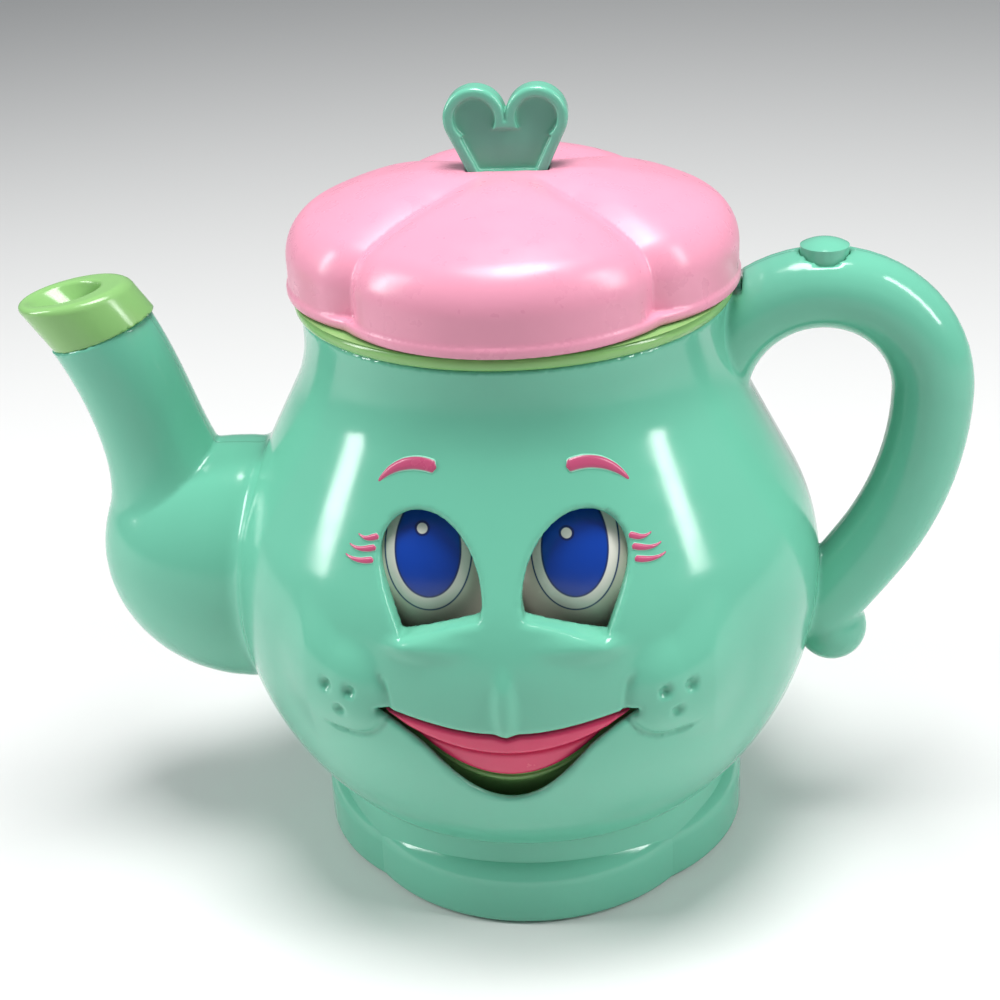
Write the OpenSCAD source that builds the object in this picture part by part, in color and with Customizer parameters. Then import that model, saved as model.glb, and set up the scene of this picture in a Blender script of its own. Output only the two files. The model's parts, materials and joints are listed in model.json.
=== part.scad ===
// Toy teapot with a moving face: two moulded shells, a lift-off petal lid, a petal foot with the
// battery box, and a small geared mechanism that opens the mouth and rolls the eyes.
// Front is -Y, the spout points to -X, the handle to +X. The origin is on the table, on the pot's axis.

/* [Fits] */
// Gap between pieces that move past each other or drop in loosely
gap = 0.3; // [0.2:0.05:0.4]
// Gap round shafts, screws and other close-fitting round pieces
fit = 0.05; // [0.03:0.01:0.08]

/* [Pot] */
// Radius of the belly at its widest ring, and of its round lower half
belly_r = 75; // [72:0.5:78]
// Height of the widest ring above the table
belly_z = 75; // [73:0.5:77]
// Radius of the curve that rounds the belly in above its widest ring
shoulder_arc_r = 52; // [49:0.5:55]
// Radius of the neck at its narrowest ring
neck_r = 51.2; // [50:0.2:52.6]
// Height of the neck's narrowest ring
neck_z = 141; // [139:0.5:143]
// Radius of the hollow curve between the flank and the neck
neck_arc_r = 32; // [29:0.5:35]
// Height of the neck's open rim
rim_z = 147; // [145.5:0.5:149]
// Height of the pot's lower edge
skirt_z = 24; // [23:0.5:25]
// Wall thickness of the shells and the other large mouldings
wall = 2.4; // [2:0.1:2.8]

/* [Spout] */
// Reach of the spout's mouth from the pot's axis
spout_reach = 109.4; // [105:0.2:113]
// Height of the middle of the spout's mouth
spout_top_z = 149; // [145:0.5:153]
// Height of the middle of the spout's root
spout_root_z = 75; // [72:0.5:78]
// Radius of the flared root
spout_root_r = 33; // [30:0.5:35]
// Radius of the spout at its mouth
spout_top_r = 13; // [12.4:0.2:14]
// Depth inside the belly at which the root starts to curve
spout_root_in = 3.5; // [2:0.5:6]
// Length over which the root heads straight out of the pot
spout_lead_in = 24.6; // [22:0.2:28]
// Length over which the end heads straight for the mouth
spout_lead_out = 43; // [38:0.5:48]
// Lean of the spout's end from upright, in degrees
spout_lean = 34.5; // [30:0.5:38]
// Power of the flare: a larger one closes it sooner
spout_taper = 3; // [2.5:0.1:3.5]
// Depth of the root, front to back, as a share of its height
spout_side_share = 0.8; // [0.7:0.05:1]
// Tilt of the mouth's plane, in degrees
mouth_ring_tilt = 9; // [5:0.5:14]
// Tilt of the joint between spout and tip ring, in degrees
tip_joint_tilt = 18; // [12:0.5:24]
// Length of the tip ring along the spout
tip_h = 12; // [10:0.5:14]
// Radius of the hole in the tip ring
tip_bore_r = 6; // [5:0.2:7]
// Radius of the hole's sloping entry
tip_entry_r = 8; // [7.4:0.2:9]
// Length of the spigot that holds the tip ring in the spout
tip_spigot_h = 7; // [5:0.5:9]

/* [Handle] */
// Distance of the upper bend's centre from the pot's axis
handle_x = 74; // [72:0.5:76]
// Height of the upper bend's centre
handle_z = 119.5; // [117:0.5:122]
// Radius of the upper bend, to the middle of the tube
handle_bend_r = 27.2; // [25:0.2:29]
// Radius of the long sweep below it
handle_sweep_r = 74.4; // [66:0.2:80]
// Angle of the long sweep, in degrees
handle_sweep = 35; // [30:1:40]
// Length of the nearly straight tail that runs into the belly
handle_tail = 20; // [17:0.5:24]
// Radius of the handle's tube
handle_r = 9.8; // [9:0.1:10.6]
// Radius of the ball under the handle
ball_r = 9; // [8:0.2:10]
// Height of the ball's centre
ball_z = 54; // [51:0.5:57]
// How far the ball is sunk into the belly
ball_sink = 2; // [1:0.5:4]

/* [Button] */
// Radius of the button on the handle
button_r = 5.8; // [5:0.1:6.4]
// Height of the button above the handle
button_proud = 2.2; // [1.8:0.1:3]
// Travel of the button
button_travel = 1.2; // [0.8:0.1:1.5]

/* [Lid] */
// Radius of the lid over two opposite petals
lid_r = 54; // [53:0.5:56]
// Distance of each petal's centre from the lid's axis
lid_petal_d = 12; // [10:0.5:14]
// Height of the lid from its rim to the top of a petal
lid_h = 27.5; // [25:0.5:30]
// Radius of the flat dome on each petal
lid_dome_r = 80; // [70:1:100]
// Radius of the round shoulder of each petal
lid_shoulder_r = 12; // [10:0.5:14]
// Height of the raised lip round the rim
lid_lip_h = 2.7; // [2:0.1:3.5]
// How far the lip stands out
lid_lip_out = 0.5; // [0.3:0.1:0.8]
// Height of the collar ring under the lid
collar_h = 3.2; // [2.6:0.1:4]
// How far the collar ring stands out past the neck
collar_out = 1.6; // [1:0.1:2.4]
// Inner radius of the cup in the neck
cup_r = 43; // [41:0.5:44]
// Depth of the cup
cup_depth = 24; // [20:0.5:26]
// Lift that takes the lid clear of the pot
lid_lift = 60; // [40:5:80]

/* [Knob] */
// Width of the heart
heart_w = 29; // [26:0.5:32]
// Radius of each of the heart's two lobes
heart_lobe_r = 7.3; // [6.6:0.1:7.6]
// Height of the heart above its seat on the lid
heart_h = 22; // [20:0.5:24]
// Width of the heart where it meets the lid
heart_base_w = 16.6; // [14:0.2:18]
// Thickness of the heart
heart_t = 6.6; // [5.6:0.2:8]
// Width of the rim round the heart's recess
heart_rim = 2.6; // [2:0.1:3.2]
// Depth of the recess on each face
heart_recess = 2; // [1.4:0.1:2.3]

/* [Foot] */
// Radius of the foot over two opposite petals
foot_r = 56; // [55:0.5:58]
// Distance of each petal's centre from the pot's axis
foot_petal_d = 9.2; // [7:0.2:11]
// Height of the petals
foot_petal_h = 17; // [15:0.5:18]
// Rounding of the petals' lower edge
foot_edge_r = 2; // [1.5:0.1:3]
// Rounding of the petals' shoulder
foot_shoulder_r = 6; // [4:0.5:7]
// How far the band above the petals stands back from the pot's lower edge
band_step = 2.4; // [1.6:0.1:3]

/* [Eyes] */
// Distance of each eye window's middle from the pot's axis
eye_x = 16; // [15.5:0.1:16.5]
// Width of an eye window
eye_w = 23.2; // [22:0.2:24.4]
// Height of the lower corner of an eye window
eye_z = 90.3; // [89:0.5:92]
// Height of an eye window
eye_h = 25.7; // [24:0.2:27]
// Depth of the return wall round each window
window_depth = 2.6; // [2:0.1:3.2]
// Radius of each eyeball
eyeball_r = 24; // [23:0.5:25]
// Width of each eyeball
eyeball_w = 26.4; // [25:0.2:27]
// Height of the axle that the eyes roll on
eye_axle_z = 95.5; // [94.5:0.5:96.5]
// Set-back of the eyeballs behind the pot's surface
eye_set_back = 9.5; // [9:0.5:11]
// Width of a raised brow
brow_w = 13.6; // [12:0.2:15]
// Height of a raised brow's inner end
brow_z = 123.8; // [123:0.2:125]

/* [Mouth] */
// Width of the mouth opening
mouth_w = 59.4; // [57:0.2:62]
// Height of the mouth opening's lowest point
mouth_z = 48; // [47:0.5:50]
// Height of the mouth opening
mouth_h = 24.4; // [23:0.2:26]
// Height of the closed lips' line at the middle
lip_line_z = 62.9; // [62:0.1:64]
// Height of the lower lip at the middle
lower_lip_h = 6.8; // [6:0.2:8]
// Thickness of the lips, front to back
lip_t = 2.6; // [2:0.1:3]
// Thickness of the jaw's plate
jaw_t = 2.2; // [2:0.1:3]
// Radius of each cheek's ball
cheek_ball_r = 20; // [18:0.5:22]
// How far a cheek stands out
cheek_out = 3; // [2.4:0.1:3.6]
// Angle of the cheeks from the front, in degrees
cheek_angle = 30; // [28:0.5:32]

/* [Mechanism] */
// Half of the clear width between the frame's side plates
frame_half_w = 34; // [33.6:0.1:35]
// Thickness of the frame's plates
frame_t = 2.4; // [2:0.1:3]
// Tooth size of the drive gear and the two sectors
gear_module = 1; // [1:0.01:1.02]
// Teeth on the drive gear
drive_teeth = 16; // [16:1:16]
// Teeth round the full circle of the eye sector
eye_teeth = 24; // [24:1:24]
// Teeth round the full circle of the jaw sector
jaw_teeth = 40; // [40:1:40]
// Tooth size of the motor's gear pair
fine_module = 0.5; // [0.5:0.01:0.52]
// Teeth on the motor's pinion
pinion_teeth = 10; // [10:1:10]
// Teeth on the large wheel of the drive gear
wheel_teeth = 40; // [40:1:40]
// Width of the gears
gear_w = 3.6; // [3:0.1:4]
// Radius of the eye and jaw axles
axle_r = 2; // [1.8:0.1:2.2]
// Length of the motor's can
motor_l = 24; // [22:0.5:24.4]
// Width of the motor's can
motor_w = 20; // [19:0.2:20.4]
// Thickness of the motor's can over its flats
motor_t = 15; // [14.4:0.2:15.4]
// Angle by which the jaw opens, in degrees
jaw_open = 9; // [6:1:10]

/* [Electrics] */
// Radius of a battery cell
cell_r = 7.1; // [7:0.05:7.2]
// Length of a battery cell
cell_l = 50; // [49:0.5:50.5]
// Number of cells side by side
cells = 3; // [3:1:3]
// Radius of the speaker
speaker_r = 20; // [18:0.5:22]
// Depth of the speaker
speaker_d = 13; // [11:0.5:15]
// Height of the speaker's middle
speaker_z = 78; // [76:0.5:82]
// Length of the circuit board
board_l = 56; // [52:0.5:60]
// Width of the circuit board
board_w = 40; // [36:0.5:44]

/* [Screws] */
// Radius of a screw's shank
screw_r = 1.45; // [1.3:0.05:1.6]
// Radius of a screw's head
screw_head_r = 2.8; // [2.6:0.1:3]
// Height of a screw's head
screw_head_h = 2; // [1.6:0.1:2.4]
// Radius of a screw boss
boss_r = 4; // [3.8:0.1:4.4]

/* [Hidden] */
$fn = 64;
pot_fn = 120;
over = 1;
arc_lap = 0.01;
far = 400;

// Outline of the pot in half section
shoulder_c = [belly_r - shoulder_arc_r, belly_z];
neck_c = [neck_r + neck_arc_r, neck_z];
link = neck_c - shoulder_c;
flank_angle = atan2(link[1], link[0]) - acos((shoulder_arc_r + neck_arc_r) / norm(link));
flank_dir = [cos(flank_angle), sin(flank_angle)];
function flank_low(inset) = shoulder_c + flank_dir * (shoulder_arc_r - inset);
function flank_high(inset) = neck_c - flank_dir * (neck_arc_r + inset);

// Radius of the pot's outside at a height
function pot_r(z) =
  let (a = flank_low(0), b = flank_high(0))
  z < belly_z ? sqrt(belly_r ^ 2 - (z - belly_z) ^ 2) :
  z < a[1] ? shoulder_c[0] + sqrt(shoulder_arc_r ^ 2 - (z - belly_z) ^ 2) :
  z < b[1] ? a[0] + (b[0] - a[0]) * (z - a[1]) / (b[1] - a[1]) :
  neck_c[0] - sqrt(neck_arc_r ^ 2 - (z - neck_z) ^ 2);
skirt_r = pot_r(skirt_z);

// Cubic curve and its heading
function bezier(p, t) =
  (1 - t) ^ 3 * p[0] + 3 * (1 - t) ^ 2 * t * p[1] + 3 * (1 - t) * t ^ 2 * p[2] + t ^ 3 * p[3];
function heading(p, t) =
  let (d = (1 - t) ^ 2 * (p[1] - p[0]) + 2 * (1 - t) * t * (p[2] - p[1]) + t ^ 2 * (p[3] - p[2]))
  d / norm(d);
curve_steps = 10;
function curve(p) = [for (i = [0:curve_steps - 1]) bezier(p, i / curve_steps)];

// Spout
spout_lean_dir = [-sin(spout_lean), cos(spout_lean)];
spout_top = [-spout_reach, spout_top_z];
spout_root = [spout_root_in - belly_r, spout_root_z];
spout_path = [
  spout_root, spout_root - [spout_lead_in, 0], spout_top - spout_lead_out * spout_lean_dir, spout_top
];
spout_rings = 20;
spout_sides = 28;
spout_inner_rings = 14;
spout_inner_sides = 18;
spout_inside = 22;
spout_root_share = 1;
function spout_blend(t) = ((1 - t) ^ 2 * (1 + 2 * t)) ^ spout_taper;
function spout_r_at(t, inset) =
  spout_top_r - inset + (spout_root_r - spout_top_r) * spout_blend(t);
function spout_side_at(t) = 1 + (spout_side_share - 1) * spout_blend(t);
tip_joint = spout_top - tip_h * spout_lean_dir;
tip_spigot_r = spout_top_r - wall - 7 * gap;

// Handle
handle_sweep_c = [handle_x + handle_bend_r - handle_sweep_r, handle_z];
handle_tail_bend_r = 4 * handle_sweep_r;
handle_tail_c =
  handle_sweep_c + (handle_sweep_r - handle_tail_bend_r) * [cos(handle_sweep), -sin(handle_sweep)];
handle_tail_turn = handle_tail / handle_tail_bend_r * 180 / PI;
handle_root_angle = 165;
handle_core_angle = 118;
ball_x = pot_r(ball_z) + ball_r - ball_sink;
button_x = handle_x;
handle_top_z = handle_z + handle_bend_r + handle_r;
button_top_z = handle_top_z + button_proud;
button_flange = 1;
button_flange_drop = 3;
button_flange_z = handle_z + handle_bend_r + button_flange_drop;
button_stem_r = button_r / 2;
button_stem_h = 0.5;
switch_h = 3.4;
switch_w = 6;
switch_board_t = 1.2;
switch_board_l = 16;
switch_board_w = 10;
switch_top_z = button_flange_z - button_flange - button_stem_h - button_travel - gap;
switch_seat_z = switch_top_z - switch_h - switch_board_t;
switch_rest_h = 1.6;
switch_rest_in = 3.5;
switch_rest_out = 6.6;
switch_rest_l = 10;

// Lid, collar and knob
collar_top_z = rim_z + collar_h;
lid_z = collar_top_z + gap;
lid_top_z = lid_z + lid_h;
lid_petal_r = lid_r - lid_petal_d;
lid_dome_c = [0, lid_top_z - lid_dome_r];
lid_shoulder_x = lid_petal_r - lid_shoulder_r;
lid_shoulder_z = lid_dome_c[1] + sqrt((lid_dome_r - lid_shoulder_r) ^ 2 - lid_shoulder_x ^ 2);
lid_ring_t = 1.8;
lid_ring_drop = 4;
collar_ring_r = neck_r - wall - gap;
collar_ring_h = 13;
collar_bead = 0.5;
collar_bead_h = 2;
cup_t = 2;
cup_floor_z = collar_top_z - cup_depth;
heart_sink = 3;
heart_seat_z = lid_top_z - heart_sink;
heart_top_z = heart_seat_z + heart_h;
heart_lobe_c = [heart_w / 2 - heart_lobe_r, heart_top_z - heart_lobe_r];
heart_corner = [heart_base_w / 2, heart_seat_z];
heart_reach = heart_corner - heart_lobe_c;
heart_flank_angle = atan2(heart_reach[1], heart_reach[0]) + acos(heart_lobe_r / norm(heart_reach));
heart_flank_dir = [cos(heart_flank_angle), sin(heart_flank_angle)];
tenon_w = 12;
tenon_h = 8;
tenon_side = 1;
socket_t = 2.6;
socket_floor = 2.4;
tenon_z = heart_seat_z - tenon_h;
socket_z = tenon_z - socket_floor - gap;
knob_screw_l = 8;

// Foot and battery box
foot_petal_r = foot_r - foot_petal_d;
foot_floor = 2.4;
foot_hollow = 1;
door_t = 2;
band_r = skirt_r - band_step;
spigot_r = sqrt((belly_r - wall) ^ 2 - (belly_z - skirt_z) ^ 2) - gap;
spigot_h = 3;
spigot_t = 2;
contact_room = 3;
box_l = cell_l + 2 * contact_room;
box_w = cells * 2 * cell_r + (cells + 1) * gap;
box_roof_z = foot_hollow + door_t + 2 * cell_r + 4 * gap;
box_t = 1.8;
door_lap = 2;
door_corner_r = 4;
door_l = box_l + 2 * door_lap;
door_w = box_w + 2 * door_lap;
door_tongue_w = 12;
door_screw_out = 4;
door_lug_r = 5;
door_screw_x = door_l / 2 + door_screw_out - door_lug_r / 2;
door_screw_l = 8;
contact_t = 0.6;
contact_reach = contact_room - contact_t / 2 - fit;
cell_z = foot_hollow + door_t + gap + cell_r;
cell_nib_r = 2.6;
cell_nib_h = 1.2;
foot_screw_d = 47;
foot_screw_l = 18;
foot_screw_bite = 11;
foot_boss_h = 13;

// Board on the battery box
board_t = 1.6;
board_post_h = 5;
board_z = box_roof_z + box_t + board_post_h;
board_inset = 4;
board_screw_l = 5;
chip_l = 16;
chip_w = 10;
chip_h = 3;

// Screws that join the shells: places across and up, as a mirrored pair at each level
shell_screw_high = [52, 118];
shell_screw_low = [57, 47];
shell_screws_at = [
  shell_screw_high, [-shell_screw_high[0], shell_screw_high[1]],
  shell_screw_low, [-shell_screw_low[0], shell_screw_low[1]]
];
shell_screw_seat = 6;
shell_screw_l = 16;

// Face
eye_bottom_inner_share = [-0.474, 0.19];
eye_inner_share = [-0.5, 0.3];
eye_top_share = [0.065, 1];
eye_outer_share = [0.5, 0.6];
eye_bottom_outer_share = [0.297, 0];
eye_pull_shares = [[0, 0.38], [-0.3, 0], [0.24, 0], [0, 0.22], [0, -0.2], [0.08, 0.2]];
mouth_corner_share = [0.5, 1];
mouth_corner_low_share = [0.5, 0.96];
mouth_bow_share = [0.05, 0.828];
mouth_notch_share = 0.783;
mouth_side_share = [0.313, 0.63];
mouth_pull_shares = [[-0.14, -0.05], [0.15, 0], [-0.07, -0.09], [0.047, 0.12], [-0.093, -0.27], [0.13, 0]];
window_rim = 1.6;
brow_t_share = 0.2;
brow_arch_share = 0.36;
brow_x_share = 0.6;
relief = 0.6;
cheek_drop = 0.6;
ridge_r = 2.4;
ridge_out = 0.8;
ridge_top_z = 84;
ridge_low_z = 69;
cheek_z = belly_z - cheek_drop;
pit_r = 1;
pit_depth = 1.6;
pit_d = 4;
pits = 3;
lash_t = 1;
lash_l = 6;
lash_gap = 2.4;
lashes = 3;

// Eyes, jaw and lips
eye_axle_y = -(pot_r(eye_axle_z) - eye_set_back - eyeball_r);
eye_axle_at = [eye_axle_y, eye_axle_z];
eyeball_x = eye_x + 0.9 * gap;
eyeball_t = 2;
eyeball_span = 200;
hub_t = 2.4;
hub_r = axle_r + hub_t;
jaw_axle_at = [0, belly_z];
lip_out_r = belly_r - wall - 2 * gap;
jaw_out_r = lip_out_r - lip_t;
jaw_in_r = jaw_out_r - jaw_t;
jaw_half_w = frame_half_w - 2 * gap;
jaw_arm_t = 2.2;
jaw_drop = 5;
jaw_low_z = mouth_z - jaw_drop;
jaw_arm_h = 7;
lip_gap = 0.5;
lip_rise = 8.7;
lower_lip_rise = 21;
lip_set_back = 0.8;
lip_steps = 2;
lip_half_w = mouth_w / 2 + wall;
lower_lip_w_share = 0.96;
lower_lip_half_w =
  lower_lip_w_share * mouth_w / 2 * sqrt((lower_lip_h - lip_gap) / (lower_lip_rise - lip_rise));
upper_lip_top_z = lip_line(lip_half_w) + lip_gap + wall / 2;
outline_steps = 16;

// Gears
drive_pitch_r = gear_module * drive_teeth / 2;
eye_pitch_r = gear_module * eye_teeth / 2;
jaw_pitch_r = gear_module * jaw_teeth / 2;
wheel_pitch_r = fine_module * wheel_teeth / 2;
pinion_pitch_r = fine_module * pinion_teeth / 2;
eye_reach = eye_pitch_r + drive_pitch_r;
jaw_reach = jaw_pitch_r + drive_pitch_r;
axle_span = jaw_axle_at - eye_axle_at;
axle_dist = norm(axle_span);
drive_along = (eye_reach ^ 2 - jaw_reach ^ 2 + axle_dist ^ 2) / (2 * axle_dist);
drive_off = sqrt(eye_reach ^ 2 - drive_along ^ 2);
span_dir = axle_span / axle_dist;
drive_at = eye_axle_at + drive_along * span_dir + drive_off * [-span_dir[1], span_dir[0]];
motor_angle = 37;
motor_reach = wheel_pitch_r + pinion_pitch_r;
motor_at = drive_at + motor_reach * [cos(motor_angle), sin(motor_angle)];
function angle_to(from, to) = atan2(to[1] - from[1], to[0] - from[0]);
drive_to_eye = angle_to(drive_at, eye_axle_at);
drive_to_jaw = angle_to(drive_at, jaw_axle_at);
drive_pitch_angle = 360 / drive_teeth;
jaw_tooth_off = drive_pitch_angle * round((drive_to_jaw - drive_to_eye) / drive_pitch_angle)
  + drive_to_eye - drive_to_jaw;
eye_phase = drive_to_eye + 180 + 180 / eye_teeth;
jaw_phase = drive_to_jaw + 180 - jaw_tooth_off * drive_teeth / jaw_teeth + 180 / jaw_teeth;
pinion_phase = motor_angle + 180 + 180 / pinion_teeth;
addendum_share = 0.9;
eye_tip_r = gear_module * (eye_teeth / 2 + addendum_share);
dedendum_share = 1.2;
tip_thin_share = 0.32;
root_thick_share = 0.78;
backlash_share = 0.9;
sector_half = 36;
gear_x = frame_half_w + frame_t + 2 * gap;
wheel_x = gear_x + gear_w + gap;
wheel_w = 3;
drive_pin_r = 1.5;
motor_shaft_r = 1;
motor_boss_r = 3;
motor_cap_l = 3;
motor_x = frame_half_w - motor_l - gap;

// Frame
frame_back_y = 10;
frame_drop = 13;
frame_low_z = belly_z - frame_drop;
ear_y = -30;
ear_x = 44;
ear_high_z = 110;
ear_low_z = 66;
ear_w = 9;
frame_screw_l = 9;
frame_screw_bite = 6;
shelf_t = 2;

// Speaker
speaker_reach = speaker_r + wall;
speaker_seat_y =
  min(sqrt(pot_r(speaker_z) ^ 2 - speaker_reach ^ 2), pot_r(speaker_z + speaker_reach)) - 1.5 * wall;
speaker_rim_t = 1.6;
speaker_rim_w = 3;
speaker_magnet_r = 9;
speaker_magnet_h = 5;
speaker_throat_r = 8;
speaker_screw_l = 6;
speaker_basket_t = 1;
speaker_screw_count = 3;
speaker_ear_d = speaker_r + screw_head_r - 0.6 * screw_r;
grille_r = 1.3;
grille_step = 5.2;
grille_rings = 3;
grille_turn = 7;

// Shared shapes

// Area of the pot's half section between two heights, moved in by inset
module pot_outline(inset, low, high) {
  a = flank_low(inset + arc_lap);
  b = flank_high(inset - arc_lap);
  top = flank_high(inset);
  intersection() {
    translate([0, belly_z]) circle(belly_r - inset);
    translate([0, low]) square([belly_r, belly_z - low]);
  }
  difference() {
    union() {
      intersection() {
        translate(shoulder_c) circle(shoulder_arc_r - inset);
        translate([0, belly_z]) square([belly_r, (a[1] + b[1]) / 2 - belly_z]);
      }
      polygon([[0, a[1]], a, b, [0, b[1]]]);
      translate([0, top[1]]) square([top[0], high - top[1]]);
    }
    translate(neck_c) circle(neck_arc_r + inset);
  }
}

// Whole of the pot's solid, with its seam at the back
module pot_solid(inset, low, high) {
  rotate([0, 0, 90]) rotate_extrude($fn = pot_fn) pot_outline(inset, low, high);
}

// Inside of the shells, open at the top and bottom
module pot_core(inset = wall) {
  pot_solid(inset, skirt_z - over, rim_z + over);
}

// Solid through closed rings of points
module sweep(rings) {
  n = len(rings[0]);
  m = len(rings);
  polyhedron(
    [for (r = rings) each r],
    [
      [for (j = [0:n - 1]) j],
      [for (j = [n - 1:-1:0]) (m - 1) * n + j],
      for (i = [0:m - 2]) for (j = [0:n - 1]) each [
        [i * n + j, (i + 1) * n + j, i * n + (j + 1) % n],
        [i * n + (j + 1) % n, (i + 1) * n + j, (i + 1) * n + (j + 1) % n]
      ]
    ]
  );
}

// Ring of points round the spout
function spout_ring(c, d, r, side, sides) = [
  for (j = [0:sides - 1])
    let (a = 360 * (j + 0.5) / sides)
    [c[0] + d[1] * r * cos(a), side * r * sin(a), c[1] - d[0] * r * cos(a)]
];

module spout(inset, rings, sides) {
  root = spout_ring(
    spout_root + [spout_inside, 0], heading(spout_path, 0), spout_root_share * spout_r_at(0, inset),
    spout_side_share, sides
  );
  sweep([
    root,
    for (i = [0:rings])
      let (t = i / rings)
      spout_ring(
        bezier(spout_path, t), heading(spout_path, t), spout_r_at(t, inset), spout_side_at(t), sides
      )
  ]);
}

// Everything on the mouth's side of a plane across the spout
module above_plane(at, tilt) {
  translate([at[0], 0, at[1]]) rotate([0, -tilt, 0]) translate([-far, -far, 0]) cube(2 * far);
}

module handle_arc(c, r, from, to, tube_r) {
  translate([c[0], 0, c[1]]) rotate([90, 0, 0])
    rotate_extrude(angle = to - from, start = from) translate([r, 0]) rotate(-90) circle(tube_r);
}

module handle_tube(tube_r, root_angle) {
  handle_arc([handle_x, handle_z], handle_bend_r, 0, root_angle, tube_r);
  handle_arc(handle_sweep_c, handle_sweep_r, -handle_sweep, 0, tube_r);
  handle_arc(handle_tail_c, handle_tail_bend_r, -handle_sweep - handle_tail_turn, -handle_sweep, tube_r);
}

// Room for the collar and the lid beside the handle's root
module lid_room() {
  translate([0, 0, rim_z]) rotate([0, 0, 90]) cylinder(h = far, r = lid_r + lid_lip_out + gap);
}

// Ball under the handle
module ball(r) {
  translate([ball_x, 0, ball_z]) rotate([0, 0, 90]) sphere(r);
}

// Outside of the pot with its spout and handle
module outside() {
  pot_solid(0, skirt_z, rim_z);
  difference() {
    handle_tube(handle_r, handle_root_angle);
    lid_room();
  }
  ball(ball_r);
  difference() {
    spout(0, spout_rings, spout_sides);
    above_plane(tip_joint, tip_joint_tilt);
  }
}

// Hollows of the spout and the handle, and the button's hole
module spout_core() {
  spout(wall, spout_inner_rings, spout_inner_sides);
}

module handle_core() {
  handle_tube(handle_r - wall, handle_core_angle);
}

module button_hole() {
  translate([button_x, 0, handle_z + handle_bend_r]) rotate([0, 0, 90])
    cylinder(h = far, r = button_r + gap);
}

// Ledge in the handle's hollow on which the switch's board rests
module switch_rest() {
  translate([button_x - switch_rest_l / 2, -switch_rest_out, switch_seat_z - switch_rest_h])
    cube([switch_rest_l, switch_rest_out - switch_rest_in, switch_rest_h]);
}

// Space in front of the parting plane
module front_space() {
  translate([-far, -2 * far, -far]) cube(2 * far);
}

// Straight cut or piece from front to back over an outline across and up
module through_front() {
  rotate([90, 0, 0]) linear_extrude(far) children();
}

// Extrusion along X of an outline in y and z
module along_x(x, l) {
  translate([x, 0, 0]) rotate([90, 0, 90]) linear_extrude(l) children();
}

// Round bar along -Y from a plane
module bar_forward(x, y, z, r, l) {
  translate([x, y, z]) rotate([90, 0, 0]) cylinder(h = l, r = r);
}

// Screw that points along +Z, with the underside of its head at the origin
module screw(l) {
  cylinder(h = l, r = screw_r);
  translate([0, 0, -screw_head_h]) cylinder(h = screw_head_h, r = screw_head_r);
}

// Right eye window
function eye_point(s) = [eye_x + s[0] * eye_w, eye_z + s[1] * eye_h];
function eye_curve(a, b, k) = curve([
  eye_point(a), eye_point(a + eye_pull_shares[k]), eye_point(b + eye_pull_shares[k + 1]), eye_point(b)
]);
eye_points = [
  eye_point(eye_bottom_outer_share),
  eye_point(eye_bottom_inner_share),
  each eye_curve(eye_inner_share, eye_top_share, 0),
  each eye_curve(eye_top_share, eye_outer_share, 2),
  each eye_curve(eye_outer_share, eye_bottom_outer_share, 4)
];

// Right half of the mouth opening, from the notch round to the lowest point
function mouth_point(s) = [s[0] * mouth_w, mouth_z + s[1] * mouth_h];
function mouth_curve(a, b, k) = curve([
  mouth_point(a), mouth_point(a + mouth_pull_shares[k]), mouth_point(b + mouth_pull_shares[k + 1]),
  mouth_point(b)
]);
module mouth_side() {
  upper = mouth_curve(mouth_corner_share, mouth_bow_share, 0);
  polygon([
    mouth_point([0, 0]),
    mouth_point([0, mouth_notch_share]),
    mouth_point(mouth_bow_share),
    for (i = [curve_steps - 1:-1:0]) upper[i],
    each mouth_curve(mouth_corner_low_share, mouth_side_share, 2),
    each mouth_curve(mouth_side_share, [0, 0], 4)
  ]);
}

module mouth_outline() {
  mouth_side();
  mirror([1, 0]) mouth_side();
}

module each_side() {
  children();
  mirror([1, 0, 0]) children();
}

// Front shell

module window_returns() {
  intersection() {
    each_side() through_front() difference() {
      offset(r = window_rim) polygon(eye_points);
      polygon(eye_points);
    }
    difference() {
      pot_core(wall / 2);
      pot_core(wall + window_depth);
      for (x = [-eyeball_x, eyeball_x]) translate([x, eye_axle_y, eye_axle_z]) rotate([0, 90, 0])
        sphere(eyeball_r + gap);
    }
  }
}

module brow_outline() {
  x = eye_x + (brow_x_share - 0.5) * eye_w / 2;
  top = [for (i = [0:curve_steps]) let (t = i / curve_steps)
    [x + (t - 0.5) * brow_w, brow_z + brow_w * (brow_t_share + brow_arch_share * t * (0.55 - t))]];
  low = [for (i = [curve_steps - 1:-1:0]) let (t = i / curve_steps)
    [x + (t - 0.5) * brow_w, brow_z + brow_w * (brow_arch_share * t * (0.45 - t))]];
  polygon(concat(top, low));
}

module brows() {
  intersection() {
    each_side() through_front() brow_outline();
    difference() {
      pot_solid(-relief, skirt_z, rim_z);
      pot_core();
    }
  }
}

// Places a child at a cheek's middle, with its Z axis along the cheek's normal
module at_cheek(d) {
  each_side() rotate([0, 0, cheek_angle]) translate([0, -d, cheek_z]) rotate([90, 0, 0]) children();
}

module face_relief() {
  at_cheek(belly_r + cheek_out - cheek_ball_r) sphere(cheek_ball_r);
  translate([0, ridge_r - ridge_out - belly_r, (ridge_low_z + ridge_top_z) / 2])
    scale([1, 1, (ridge_top_z - ridge_low_z) / (2 * ridge_r)]) rotate([0, 0, 90]) sphere(ridge_r);
}

module cheek_pits() {
  at_cheek(belly_r + cheek_out - pit_depth)
    for (i = [0:pits - 1]) rotate([0, 0, 360 * i / pits + 30]) translate([0, pit_d, 0])
      cylinder(h = far, r = pit_r);
}

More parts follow.
